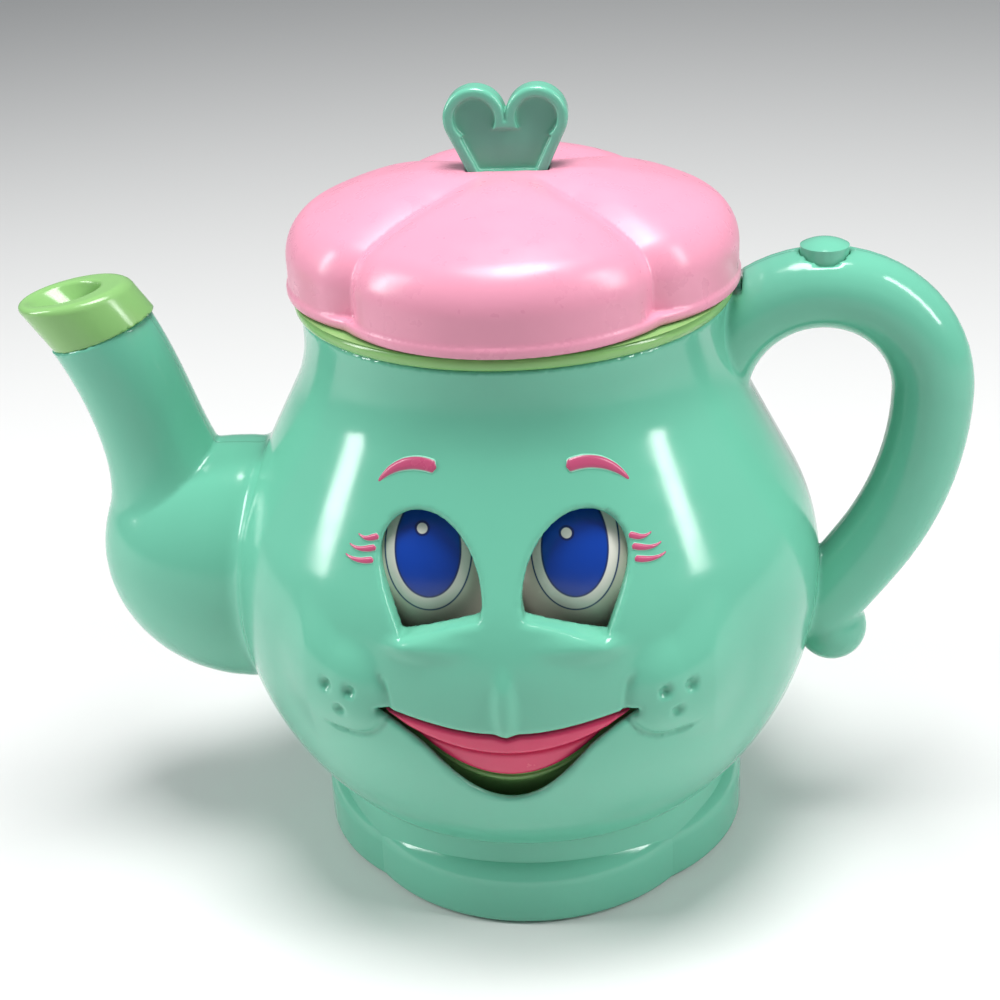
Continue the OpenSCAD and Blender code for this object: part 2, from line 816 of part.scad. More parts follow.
// Bosses that take the shell screws, the frame and the foot in the front shell
module front_bosses() {
  intersection() {
    pot_core(wall / 2);
    union() {
      for (p = shell_screws_at) bar_forward(p[0], 0, p[1], boss_r, belly_r);
      for (x = [-ear_x, ear_x]) for (z = [ear_low_z, ear_high_z])
        bar_forward(x, ear_y, z, boss_r, belly_r);
    }
  }
  foot_bosses();
}

// Pair of bosses behind the lower edge, each on a web to the wall
module foot_bosses() {
  intersection() {
    pot_solid(wall / 2, skirt_z, rim_z);
    for (a = [225, 315]) rotate([0, 0, a]) {
      translate([foot_screw_d, 0, skirt_z]) cylinder(h = foot_boss_h, r = boss_r);
      translate([foot_screw_d, -wall / 2, skirt_z]) cube([belly_r, wall, foot_boss_h]);
    }
  }
}

module foot_boss_holes() {
  for (a = [225, 315]) rotate([0, 0, a]) translate([foot_screw_d, 0, skirt_z - over])
    cylinder(h = foot_screw_bite + over, r = screw_r + fit);
}

module front_shell() {
  color("mediumaquamarine") difference() {
    union() {
      difference() {
        union() {
          intersection() {
            outside();
            front_space();
          }
          face_relief();
        }
        pot_core();
        spout_core();
        handle_core();
        button_hole();
        each_side() through_front() polygon(eye_points);
        through_front() mouth_outline();
        cheek_pits();
      }
      window_returns();
      brows();
      front_bosses();
      switch_rest();
    }
    for (p = shell_screws_at)
      bar_forward(p[0], over, p[1], screw_r + fit, shell_screw_l - shell_screw_seat + 2 * over);
    for (x = [-ear_x, ear_x]) for (z = [ear_low_z, ear_high_z])
      bar_forward(x, ear_y + over, z, screw_r + fit, frame_screw_bite + 2 * over);
    foot_boss_holes();
  }
}

// Rear shell

module rear_bosses() {
  intersection() {
    pot_core(wall / 2);
    union() {
      for (p = shell_screws_at) bar_forward(p[0], belly_r, p[1], boss_r, belly_r);
      bar_forward(0, belly_r, speaker_z, speaker_r + wall, belly_r - speaker_seat_y);
      for (i = [0:speaker_screw_count - 1]) rotate_speaker(i)
        bar_forward(speaker_ear_d, belly_r, 0, boss_r, belly_r - speaker_seat_y);
    }
  }
}

// Turns a child about the speaker's axis, to the place of one of its screws
module rotate_speaker(i) {
  translate([0, 0, speaker_z]) rotate([0, 90 + 360 * i / speaker_screw_count, 0]) children();
}

module grille() {
  bar_forward(0, far, speaker_z, grille_r, far);
  for (k = [1:grille_rings]) for (i = [0:6 * k - 1])
    translate([0, 0, speaker_z]) rotate([0, 60 * i / k + grille_turn, 0])
      bar_forward(k * grille_step, far, 0, grille_r, far);
}

module rear_shell() {
  color("mediumaquamarine") difference() {
    union() {
      difference() {
        difference() {
          outside();
          front_space();
        }
        pot_core();
        spout_core();
        handle_core();
        button_hole();
      }
      rear_bosses();
      mirror([0, 1, 0]) foot_bosses();
      mirror([0, 1, 0]) switch_rest();
    }
    for (p = shell_screws_at) {
      bar_forward(p[0], far, p[1], screw_r + gap, far + over);
      bar_forward(p[0], far, p[1], screw_head_r + gap, far - shell_screw_seat);
    }
    mirror([0, 1, 0]) foot_boss_holes();
    bar_forward(0, pot_r(speaker_z) - wall, speaker_z, speaker_r - speaker_rim_w, far);
    for (i = [0:speaker_screw_count - 1]) rotate_speaker(i)
      bar_forward(speaker_ear_d, speaker_seat_y + speaker_screw_l - speaker_rim_t, 0, screw_r + fit, far);
    grille();
  }
}

// Spout tip, collar cup, lid and knob

module spout_tip() {
  color("yellowgreen") difference() {
    union() {
      intersection() {
        translate([spout_top[0], 0, spout_top[1]]) rotate([0, -spout_lean, 0])
          translate([0, 0, -2 * tip_h]) cylinder(h = 3 * tip_h, r = spout_r_at(1, 0));
        difference() {
          above_plane(tip_joint, tip_joint_tilt);
          above_plane(spout_top, mouth_ring_tilt);
        }
      }
      translate([tip_joint[0], 0, tip_joint[1]]) rotate([0, -spout_lean, 0])
        translate([0, 0, -tip_spigot_h]) cylinder(h = tip_spigot_h + wall, r = tip_spigot_r);
    }
    translate([spout_top[0], 0, spout_top[1]]) rotate([0, -spout_lean, 0]) {
      translate([0, 0, -3 * tip_h]) cylinder(h = 5 * tip_h, r = tip_bore_r);
      translate([0, 0, -tip_entry_r])
        cylinder(h = 2 * tip_entry_r, r1 = tip_entry_r / 2, r2 = 1.5 * tip_entry_r);
    }
  }
}

// Half section of a round block with rounded lower and upper edges
module block_outline(r, low, high, low_round, high_round) {
  difference() {
    translate([0, low]) square([r, high - low]);
    if (low_round > 0) edge_round(r, low, low_round, 1);
    if (high_round > 0) edge_round(r, high, high_round, -1);
  }
}

module edge_round(r, z, round_r, way) {
  difference() {
    translate([r - round_r, way > 0 ? z : z - round_r]) square(round_r);
    translate([r - round_r, z + way * round_r]) circle(round_r);
  }
}

module collar_cup() {
  color("yellowgreen") difference() {
    union() {
      rotate_extrude()
        block_outline(neck_r + collar_out, rim_z, collar_top_z, collar_h / 2.2, collar_h / 2.2);
      translate([0, 0, rim_z - collar_ring_h]) cylinder(h = collar_ring_h + collar_h / 2, r = collar_ring_r);
      translate([0, 0, rim_z - collar_ring_h]) cylinder(h = collar_bead_h, r = collar_ring_r + collar_bead);
      translate([0, 0, cup_floor_z - cup_t]) cylinder(h = cup_depth, r = cup_r + cup_t);
    }
    translate([0, 0, cup_floor_z]) cylinder(h = cup_depth + over, r = cup_r);
    translate([0, 0, rim_z - collar_ring_h - over]) difference() {
      cylinder(h = collar_ring_h + over - cup_t, r = collar_ring_r - cup_t);
      cylinder(h = collar_ring_h + over, r = cup_r + cup_t);
    }
  }
}

// Half section of one petal of the lid, moved in by inset and open below
module lid_petal_outline(inset, low) {
  u = [lid_shoulder_x, lid_shoulder_z] - lid_dome_c;
  touch = lid_dome_c + u / norm(u) * (lid_dome_r - inset);
  intersection() {
    translate(lid_dome_c) circle(lid_dome_r - inset, $fn = 180);
    translate([0, low]) square([touch[0], lid_dome_c[1] + lid_dome_r - low]);
  }
  intersection() {
    translate([lid_shoulder_x, lid_shoulder_z]) circle(lid_shoulder_r - inset);
    translate([lid_shoulder_x, low]) square(far);
  }
  translate([0, low]) square([lid_petal_r - inset, lid_shoulder_z - low]);
}

module lid_petals(inset, low) {
  for (a = [0:90:270]) rotate([0, 0, a]) translate([lid_petal_d, 0, 0])
    rotate_extrude() lid_petal_outline(inset, low);
}

module lid() {
  ring_r = cup_r - 2 * gap;
  ring_low = lid_z - lid_ring_drop;
  color("palevioletred") difference() {
    union() {
      difference() {
        union() {
          lid_petals(0, lid_z);
          for (a = [0:90:270]) rotate([0, 0, a]) translate([lid_petal_d, 0, lid_z])
            cylinder(h = lid_lip_h, r = lid_petal_r + lid_lip_out);
        }
        lid_petals(wall, lid_z - over);
      }
      intersection() {
        lid_petals(wall / 2, ring_low);
        union() {
          difference() {
            translate([0, 0, ring_low]) cylinder(h = lid_h + lid_ring_drop, r = ring_r);
            translate([0, 0, ring_low - over]) cylinder(h = far, r = ring_r - lid_ring_t);
          }
          translate([0, 0, socket_z]) cylinder(h = lid_h, r = tenon_w / 2 + socket_t);
        }
      }
    }
    translate([-tenon_w / 2 - fit, -heart_t / 2 + tenon_side - fit, tenon_z - gap])
      cube([tenon_w + 2 * fit, heart_t - 2 * tenon_side + 2 * fit, far]);
    translate([0, heart_t / 2 + gap, 0]) rotate([90, 0, 0])
      linear_extrude(heart_t + 2 * gap) intersection() {
        heart_outline(-gap);
        translate([-heart_w, heart_seat_z]) square([2 * heart_w, heart_h]);
      }
    translate([0, 0, socket_z - over]) cylinder(h = lid_h, r = screw_r + gap);
  }
}

// Heart in the upright plane, moved in by inset on its round and sloping sides
module heart_outline(inset) {
  flank = heart_lobe_c + heart_flank_dir * (heart_lobe_r - inset);
  corner = heart_corner - heart_flank_dir * inset;
  for (s = [-1, 1]) translate([s * heart_lobe_c[0], heart_lobe_c[1]]) circle(heart_lobe_r - inset);
  polygon([
    corner, flank, heart_lobe_c, [-heart_lobe_c[0], heart_lobe_c[1]], [-flank[0], flank[1]],
    [-corner[0], corner[1]]
  ]);
}

module heart_knob() {
  color("mediumaquamarine") difference() {
    union() {
      translate([0, heart_t / 2, 0]) rotate([90, 0, 0]) linear_extrude(heart_t) heart_outline(0);
      translate([-tenon_w / 2, tenon_side - heart_t / 2, tenon_z])
        cube([tenon_w, heart_t - 2 * tenon_side, tenon_h + over]);
    }
    for (s = [0, 1]) mirror([0, s, 0]) translate([0, heart_recess - heart_t / 2, 0])
      through_front() intersection() {
        heart_outline(heart_rim);
        translate([-heart_w, heart_seat_z + over]) square([2 * heart_w, heart_h]);
      }
    translate([0, 0, tenon_z - over]) cylinder(h = knob_screw_l - socket_floor + over, r = screw_r + fit);
  }
}

module knob_screw() {
  color("silver") translate([0, 0, socket_z]) screw(knob_screw_l);
}

// Button and its switch

module button() {
  color("aquamarine") {
    translate([button_x, 0, button_flange_z]) intersection() {
      cylinder(h = button_top_z - button_flange_z, r = button_r);
      translate([0, 0, button_top_z - button_flange_z - 2 * button_r]) sphere(2 * button_r);
    }
    translate([button_x, 0, button_flange_z - button_flange])
      cylinder(h = button_flange, r = button_r + 2 * gap);
    translate([button_x, 0, button_flange_z - button_flange - button_stem_h])
      cylinder(h = button_stem_h, r = button_stem_r);
  }
}

module button_switch() {
  color("dimgray") {
    translate([button_x - switch_w / 2, -switch_w / 2, switch_seat_z + switch_board_t])
      cube([switch_w, switch_w, switch_h - over]);
    translate([button_x, 0, switch_seat_z + switch_board_t])
      cylinder(h = switch_h, r = button_stem_r / 2);
  }
}

module switch_board() {
  color("seagreen") translate([button_x - switch_board_l / 2, -switch_board_w / 2, switch_seat_z])
    cube([switch_board_l, switch_board_w, switch_board_t]);
}

// Foot and batteries

module foot_petals(inset, low, high, low_round, high_round) {
  for (a = [0:90:270]) rotate([0, 0, a]) translate([foot_petal_d, 0, 0])
    rotate_extrude() block_outline(foot_petal_r - inset, low, high, low_round, high_round);
}

// Rounded plate of the battery door, moved out by grow
module door_outline(grow) {
  l = door_l / 2 + grow;
  w = door_w / 2 + grow;
  square([2 * (l - door_corner_r), 2 * w], center = true);
  square([2 * l, 2 * (w - door_corner_r)], center = true);
  for (x = [-1, 1]) for (y = [-1, 1])
    translate([x * (l - door_corner_r), y * (w - door_corner_r)]) circle(door_corner_r);
  translate([door_screw_x, 0]) circle(door_lug_r + grow);
  translate([-l - door_lap, -door_tongue_w / 2 - grow]) square([l, door_tongue_w + 2 * grow]);
}

module foot() {
  roof_h = box_roof_z + box_t - foot_hollow;
  color("mediumaquamarine") difference() {
    union() {
      difference() {
        union() {
          foot_petals(0, 0, foot_petal_h, foot_edge_r, foot_shoulder_r);
          rotate_extrude() block_outline(band_r, foot_hollow, skirt_z, 0, band_step / 2);
          translate([0, 0, foot_hollow]) cylinder(h = skirt_z + spigot_h - foot_hollow, r = spigot_r);
        }
        intersection() {
          foot_petals(wall, foot_hollow + foot_floor, foot_petal_h - wall, 0, foot_shoulder_r);
          translate([0, 0, foot_hollow]) cylinder(h = foot_petal_h, r = far);
        }
        translate([0, 0, foot_hollow + foot_floor])
          cylinder(h = skirt_z + spigot_h, r = spigot_r - spigot_t);
        foot_petals(wall + foot_edge_r, -over, foot_hollow, 0, 0);
      }
      translate([-box_l / 2 - box_t, -box_w / 2 - box_t, foot_hollow])
        cube([box_l + 2 * box_t, box_w + 2 * box_t, roof_h]);
      translate([door_screw_x, 0, foot_hollow]) cylinder(h = roof_h / 2, r = boss_r);
      for (x = [-1, 1]) for (y = [-1, 1])
        translate([x * (board_l / 2 - board_inset), y * (board_w / 2 - board_inset), box_roof_z])
          cylinder(h = board_post_h + box_t, r = boss_r - screw_r);
      for (a = [45:90:315]) rotate([0, 0, a]) translate([foot_screw_d, 0, foot_hollow])
        cylinder(h = skirt_z - foot_hollow, r = boss_r);
    }
    translate([0, 0, -over]) linear_extrude(foot_hollow + door_t + fit + over) door_outline(gap);
    translate([-box_l / 2, -box_w / 2, 0]) cube([box_l, box_w, box_roof_z]);
    translate([door_screw_x, 0, 0]) cylinder(h = foot_hollow + door_screw_l, r = screw_r + fit);
    for (x = [-1, 1]) for (y = [-1, 1])
      translate([x * (board_l / 2 - board_inset), y * (board_w / 2 - board_inset), 0])
        translate([0, 0, board_z + board_t - board_screw_l]) cylinder(h = far, r = screw_r + fit);
    for (a = [45:90:315]) rotate([0, 0, a]) translate([foot_screw_d, 0, 0]) {
      translate([0, 0, -over]) cylinder(h = far, r = screw_r + gap);
      translate([0, 0, -over])
        cylinder(h = skirt_z + foot_screw_bite - foot_screw_l + over, r = screw_head_r + gap);
      translate([0, 0, skirt_z]) cylinder(h = far, r = boss_r + gap);
      translate([0, -wall / 2 - gap, skirt_z]) cube([belly_r, wall + 2 * gap, far]);
    }
  }
}

module battery_door() {
  color("mediumaquamarine") translate([0, 0, foot_hollow]) difference() {
    linear_extrude(door_t) door_outline(0);
    translate([door_screw_x, 0, -over]) cylinder(h = door_t + 2 * over, r = screw_r + gap);
  }
}

module door_screw() {
  color("silver") translate([door_screw_x, 0, foot_hollow]) {
    cylinder(h = door_screw_l - over, r = screw_r);
    translate([0, 0, -foot_hollow / 2]) cylinder(h = foot_hollow / 2, r = screw_head_r);
  }
}

// Steps along the row of cells, turned about for every other one
module each_cell() {
  for (i = [0:cells - 1]) translate([0, (i - (cells - 1) / 2) * (2 * cell_r + gap), cell_z])
    mirror([i % 2, 0, 0]) children();
}

module battery_cells() {
  color("goldenrod") each_cell() translate([-cell_l / 2, 0, 0]) rotate([0, 90, 0]) {
    cylinder(h = cell_l - cell_nib_h, r = cell_r);
    cylinder(h = cell_l, r = cell_nib_r);
  }
}

module battery_contacts() {
  color("silver") each_cell() for (s = [-1, 1])
    translate([s * (box_l / 2 - contact_t / 2), 0, 0]) {
      cube([contact_t, 1.6 * cell_r, 1.6 * cell_r], center = true);
      translate([-s * contact_reach / 2, 0, 0]) rotate([0, 90, 0])
        cylinder(h = contact_reach, r = cell_nib_r, center = true);
    }
}

// Screws of the shells, the foot and the frame

module foot_screws() {
  color("silver") for (a = [45:90:315]) rotate([0, 0, a])
    translate([foot_screw_d, 0, skirt_z + foot_screw_bite - foot_screw_l]) screw(foot_screw_l);
}

module shell_screws() {
  color("silver") for (p = shell_screws_at) translate([p[0], shell_screw_seat, p[1]]) rotate([90, 0, 0])
    screw(shell_screw_l);
}

module frame_screws() {
  color("silver") for (x = [-ear_x, ear_x]) for (z = [ear_low_z, ear_high_z])
    translate([x, ear_y + frame_t, z]) rotate([90, 0, 0]) screw(frame_screw_l - over);
}

// Frame

module axle_hole(at, r) {
  translate(at) circle(r);
}

module frame_plate(holes) {
  difference() {
    hull() {
      translate(eye_axle_at) circle(hub_r + wall);
      translate([ear_y + frame_t, ear_low_z]) circle(wall);
      translate([frame_back_y, frame_low_z]) circle(frame_t);
      translate([frame_back_y, motor_at[1] + motor_t / 2]) circle(frame_t);
      translate([ear_y + frame_t, ear_high_z]) circle(wall);
    }
    axle_hole(eye_axle_at, axle_r + fit);
    axle_hole(jaw_axle_at, axle_r + fit);
    if (holes) {
      axle_hole(drive_at, drive_pin_r + fit);
      axle_hole(motor_at, motor_boss_r + gap);
    }
  }
}

module mechanism_frame() {
  shelf_z = motor_at[1] - motor_t / 2 - shelf_t - fit;
  shelf_back_y = frame_back_y + fit;
  color("gainsboro") difference() {
    union() {
      along_x(frame_half_w, frame_t) frame_plate(true);
      along_x(-frame_half_w - frame_t, frame_t) frame_plate(false);
      translate([-frame_half_w, frame_back_y, frame_low_z])
        cube([2 * frame_half_w, frame_t, motor_at[1] + motor_t / 2 - frame_low_z]);
      translate([motor_x - motor_cap_l, motor_at[0] - motor_w / 2, shelf_z])
        cube([frame_half_w - motor_x + motor_cap_l, shelf_back_y - motor_at[0] + motor_w / 2, shelf_t]);
      for (x = [-1, 1]) for (z = [ear_low_z, ear_high_z])
        translate([x > 0 ? frame_half_w : -ear_x - ear_w / 2, ear_y, z - ear_w / 2])
          cube([ear_x + ear_w / 2 - frame_half_w, frame_t, ear_w]);
    }
    for (x = [-ear_x, ear_x]) for (z = [ear_low_z, ear_high_z])
      bar_forward(x, ear_y + frame_t + over, z, screw_r + gap, frame_t + 2 * over);
    along_x(gear_x - gap, gear_w + 2 * gap) translate(eye_axle_at) circle(eye_tip_r + 2 * gap);
  }
}

// Eyes

// Half section of an eyeball about its axle: rim and web
module eyeball_outline() {
  intersection() {
    difference() {
      circle(eyeball_r);
      circle(eyeball_r - eyeball_t);
    }
    translate([0, -eyeball_w / 2]) square([eyeball_r, eyeball_w]);
  }
  translate([(axle_r + hub_r) / 2, -eyeball_t / 2])
    square([eyeball_r - eyeball_t / 2 - (axle_r + hub_r) / 2, eyeball_t]);
}

module eyeball(x) {
  color("ivory") translate([x, eye_axle_y, eye_axle_z]) rotate([0, 90, 0]) {
    rotate_extrude(angle = eyeball_span, start = 270 - eyeball_span / 2) eyeball_outline();
    difference() {
      cylinder(h = eyeball_w, r = hub_r, center = true);
      cylinder(h = 2 * eyeball_w, r = axle_r + fit, center = true);
    }
  }
}

module left_eye() {
  eyeball(eyeball_x);
}

module right_eye() {
  eyeball(-eyeball_x);
}

module axle_bar(at) {
  translate([-frame_half_w - frame_t - gap, at[0], at[1]]) rotate([0, 90, 0])
    cylinder(h = gear_x + gear_w + frame_half_w + frame_t + gap, r = axle_r);
}

module eye_axle() {
  color("silver") axle_bar(eye_axle_at);
}

// Gear outline: a tooth is centred on angle zero
function gear_tooth(teeth, module_size) =
  let (
    pitch_r = module_size * teeth / 2,
    half = 90 / teeth * backlash_share,
    tip = pitch_r + addendum_share * module_size,
    root = pitch_r - dedendum_share * module_size,
    tip_half = half * tip_thin_share * pitch_r / tip,
    root_half = min(2 * half * root_thick_share * pitch_r / root, 180 / teeth)
  )
  [
    [root, -root_half], [pitch_r, -half], [tip, -tip_half],
    [tip, tip_half], [pitch_r, half], [root, root_half]
  ];

module gear_outline(teeth, module_size, phase) {
  tooth = gear_tooth(teeth, module_size);
  polygon([
    for (i = [0:teeth - 1]) for (p = tooth)
      let (a = phase + 360 * i / teeth + p[1])
      p[0] * [cos(a), sin(a)]
  ]);
}

// Part of a gear round one heading, with its hub
module sector_outline(teeth, module_size, phase, heading_angle) {
  r = module_size * teeth;
  intersection() {
    gear_outline(teeth, module_size, phase);
    polygon([
      [0, 0],
      for (a = [-sector_half, 0, sector_half]) r * [cos(heading_angle + a), sin(heading_angle + a)]
    ]);
  }
  circle(hub_r);
}

module sector(at, teeth, phase, heading_angle) {
  color("white") along_x(gear_x, gear_w) translate(at) difference() {
    sector_outline(teeth, gear_module, phase, heading_angle);
    circle(axle_r + fit);
  }
}

module eye_sector() {
  sector(eye_axle_at, eye_teeth, eye_phase, drive_to_eye + 180);
}

module jaw_sector() {
  sector(jaw_axle_at, jaw_teeth, jaw_phase, drive_to_jaw + 180);
}

module drive_gear() {
  color("orange") {
    along_x(gear_x, gear_w + gap) translate(drive_at) difference() {
      gear_outline(drive_teeth, gear_module, drive_to_eye);
      circle(drive_pin_r + fit);
    }
    along_x(wheel_x, wheel_w) translate(drive_at) difference() {
      gear_outline(wheel_teeth, fine_module, motor_angle);
      circle(drive_pin_r + fit);
    }
  }
}

module drive_pin() {
  color("silver") translate([frame_half_w, drive_at[0], drive_at[1]]) rotate([0, 90, 0]) {
    cylinder(h = wheel_x + wheel_w + fit - frame_half_w, r = drive_pin_r);
    translate([0, 0, wheel_x + wheel_w + fit - frame_half_w])
      cylinder(h = drive_pin_r, r = 2 * drive_pin_r);
  }
}

// Motor

module motor_can() {
  color("silver") difference() {
    translate([motor_x, motor_at[0], motor_at[1]]) rotate([0, 90, 0]) {
      intersection() {
        cylinder(h = motor_l, r = motor_w / 2);
        translate([-motor_t / 2, -motor_w, 0]) cube([motor_t, 2 * motor_w, motor_l]);
      }
      cylinder(h = motor_l + frame_t, r = motor_boss_r);
    }
    translate([motor_x - over, motor_at[0], motor_at[1]]) rotate([0, 90, 0])
      cylinder(h = far, r = motor_shaft_r + fit);
  }
}

module motor_cap() {
  color("white") translate([motor_x - motor_cap_l, motor_at[0], motor_at[1]]) rotate([0, 90, 0])
    difference() {
      intersection() {
        cylinder(h = motor_cap_l, r = motor_w / 2);
        translate([-motor_t / 2, -motor_w, 0]) cube([motor_t, 2 * motor_w, motor_cap_l]);
      }
      translate([0, 0, -over]) cylinder(h = far, r = motor_shaft_r + fit);
    }
}

module motor_shaft() {
  color("silver") translate([motor_x - motor_cap_l, motor_at[0], motor_at[1]]) rotate([0, 90, 0])
    cylinder(h = wheel_x + wheel_w - motor_x + motor_cap_l + gap, r = motor_shaft_r);
}

module motor_pinion() {
  color("khaki") along_x(wheel_x - gap, wheel_w + gap) translate(motor_at) difference() {
    gear_outline(pinion_teeth, fine_module, pinion_phase);
    circle(motor_shaft_r + fit);
  }
}

// Lips and jaw

// Height of the lips' line and of the lower lip's edge across the mouth
function lip_line(x) = lip_line_z + lip_rise * (2 * x / mouth_w) ^ 2;
function lower_edge(x) = lip_line_z - lower_lip_h + lower_lip_rise * (2 * x / mouth_w) ^ 2;
function across(half_w) = [for (i = [-outline_steps:outline_steps]) half_w * i / outline_steps];

// Shell of two spheres about the belly's middle
module ball_layer(outer, inner) {
  translate([0, 0, belly_z]) difference() {
    sphere(outer, $fn = 120);
    sphere(inner, $fn = 120);
  }
}

module upper_lip() {
  edge = mouth_curve(mouth_corner_share, mouth_bow_share, 0);
  side = [for (i = [lip_steps:curve_steps - 1]) edge[i], mouth_point(mouth_bow_share)];
  color("palevioletred") {
    intersection() {
      ball_layer(belly_r - wall - fit, belly_r - wall - lip_t);
      through_front() polygon([
        for (x = across(lip_half_w)) [x, lip_line(x) + lip_gap],
        [lip_half_w, upper_lip_top_z], [-lip_half_w, upper_lip_top_z]
      ]);
    }
    intersection() {
      ball_layer(belly_r - lip_set_back, belly_r - wall - lip_t / 2);
      through_front() polygon([
        for (q = side) [q[0], q[1] - 2 * gap],
        mouth_point([0, mouth_notch_share]) - [0, 2 * gap],
        for (i = [len(side) - 1:-1:0]) [-side[i][0], side[i][1] - 2 * gap],
        for (q = side) [-q[0], lip_line(q[0]) + lip_gap],
        [0, lip_line_z + lip_gap],
        for (i = [len(side) - 1:-1:0]) [side[i][0], lip_line(side[i][0]) + lip_gap]
      ]);
    }
  }
}

module lower_lip() {
  color("mediumvioletred") intersection() {
    ball_layer(lip_out_r, jaw_out_r);
    through_front() polygon([
      for (x = across(lower_lip_half_w)) [x, lip_line(x) - lip_gap],
      for (x = across(lower_lip_half_w)) [-x, lower_edge(x)]
    ]);
  }
}

module jaw() {
  arm_x = jaw_half_w - jaw_arm_t;
  front_z = belly_z - jaw_arm_h;
  color("yellowgreen") difference() {
    union() {
      intersection() {
        ball_layer(jaw_out_r, jaw_in_r);
        through_front() polygon([
          [-jaw_half_w, jaw_low_z], [jaw_half_w, jaw_low_z],
          for (x = across(jaw_half_w)) [-x, min(lip_line(x) - lip_gap, front_z + jaw_arm_h / 2)]
        ]);
      }
      intersection() {
        translate([0, 0, belly_z]) sphere(jaw_out_r - jaw_t / 2);
        for (x = [arm_x, -jaw_half_w]) along_x(x, jaw_arm_t) hull() {
          translate(jaw_axle_at) circle(hub_r);
          translate([-jaw_out_r, front_z - jaw_arm_h / 2]) square(jaw_arm_h, center = true);
        }
      }
    }
    translate([-far, jaw_axle_at[0], jaw_axle_at[1]]) rotate([0, 90, 0])
      cylinder(h = 2 * far, r = axle_r + fit);
  }
}

module jaw_axle() {
  color("silver") axle_bar(jaw_axle_at);
}

// Speaker

module speaker_basket() {
  bore_r = speaker_r - speaker_rim_w;
  cone_h = speaker_d - speaker_magnet_h - speaker_rim_t;
  color("dimgray") translate([0, speaker_seat_y, speaker_z]) rotate([90, 0, 0]) difference() {
    union() {
      cylinder(h = speaker_rim_t, r = speaker_r);
      translate([0, 0, speaker_rim_t])
        cylinder(h = cone_h, r1 = bore_r + speaker_basket_t, r2 = speaker_throat_r);
    }
    translate([0, 0, -over]) cylinder(h = speaker_rim_t + over, r = bore_r);
    translate([0, 0, speaker_rim_t])
      cylinder(h = cone_h - speaker_basket_t, r1 = bore_r, r2 = speaker_throat_r - speaker_basket_t);
  }
}

module speaker_cone() {
  color("black") translate([0, speaker_seat_y, speaker_z]) rotate([90, 0, 0]) difference() {
    cylinder(h = speaker_rim_t, r = speaker_r - speaker_rim_w - fit);
    translate([0, 0, -over]) cylinder(h = over + speaker_rim_t / 2, r = speaker_throat_r);
  }
}

module speaker_magnet() {
  magnet_y = speaker_seat_y - speaker_d + speaker_magnet_h;
  color("gray") bar_forward(0, magnet_y, speaker_z, speaker_magnet_r, speaker_magnet_h);
}

module speaker_screws() {
  color("silver") for (i = [0:speaker_screw_count - 1]) rotate_speaker(i)
    translate([speaker_ear_d, speaker_seat_y - speaker_rim_t, 0]) rotate([-90, 0, 0])
      screw(speaker_screw_l - over);
}

// Circuit board

module circuit_board() {
  color("darkgreen") difference() {
    translate([-board_l / 2, -board_w / 2, board_z]) cube([board_l, board_w, board_t]);
    for (x = [-1, 1]) for (y = [-1, 1])
      translate([x * (board_l / 2 - board_inset), y * (board_w / 2 - board_inset), board_z - over])
        cylinder(h = board_t + 2 * over, r = screw_r + gap);
  }
}

module voice_chip() {
  color("black") translate([-chip_l / 2, -chip_w / 2, board_z + board_t]) cube([chip_l, chip_w, chip_h]);
}

module board_screws() {
  color("silver") for (x = [-1, 1]) for (y = [-1, 1])
    translate([x * (board_l / 2 - board_inset), y * (board_w / 2 - board_inset), board_z + board_t])
      rotate([180, 0, 0]) screw(board_screw_l - over);
}

front_shell();
rear_shell();
spout_tip();
collar_cup();
lid();
heart_knob();
knob_screw();
button();
button_switch();
switch_board();
foot();
battery_door();
door_screw();
battery_cells();
battery_contacts();
foot_screws();
shell_screws();
mechanism_frame();
frame_screws();
left_eye();
right_eye();
eye_axle();
eye_sector();
upper_lip();
lower_lip();
jaw();
jaw_axle();
jaw_sector();
drive_gear();
drive_pin();
motor_can();
motor_cap();
motor_shaft();
motor_pinion();
speaker_basket();
speaker_cone();
speaker_magnet();
speaker_screws();
circuit_board();
voice_chip();
board_screws();
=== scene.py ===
import json
import math

import bmesh
import bpy
import numpy as np
import openvdb
from mathutils import Matrix, Vector


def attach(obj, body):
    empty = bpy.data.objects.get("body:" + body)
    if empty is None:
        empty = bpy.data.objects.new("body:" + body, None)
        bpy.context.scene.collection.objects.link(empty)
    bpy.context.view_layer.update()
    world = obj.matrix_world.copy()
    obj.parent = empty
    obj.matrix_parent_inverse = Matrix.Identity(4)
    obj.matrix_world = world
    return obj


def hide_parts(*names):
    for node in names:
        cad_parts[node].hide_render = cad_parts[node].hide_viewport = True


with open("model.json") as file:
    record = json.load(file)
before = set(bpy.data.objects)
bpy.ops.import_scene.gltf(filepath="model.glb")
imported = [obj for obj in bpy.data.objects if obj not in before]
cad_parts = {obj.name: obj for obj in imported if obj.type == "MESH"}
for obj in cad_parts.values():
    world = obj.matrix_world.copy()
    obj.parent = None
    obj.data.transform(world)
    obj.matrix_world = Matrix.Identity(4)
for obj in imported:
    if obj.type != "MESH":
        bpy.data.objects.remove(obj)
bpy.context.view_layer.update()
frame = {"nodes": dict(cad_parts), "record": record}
nodes = frame["nodes"]
MM = 0.001

# Camera, as fitted to the photograph
CAM_AZ, CAM_EL, CAM_ROLL, CAM_D = 5.686, 26.028, -2.952, 0.46031
CAM_TARGET = Vector((-0.00592, 0.0, 0.090681))
CAM_LENS = 64.8


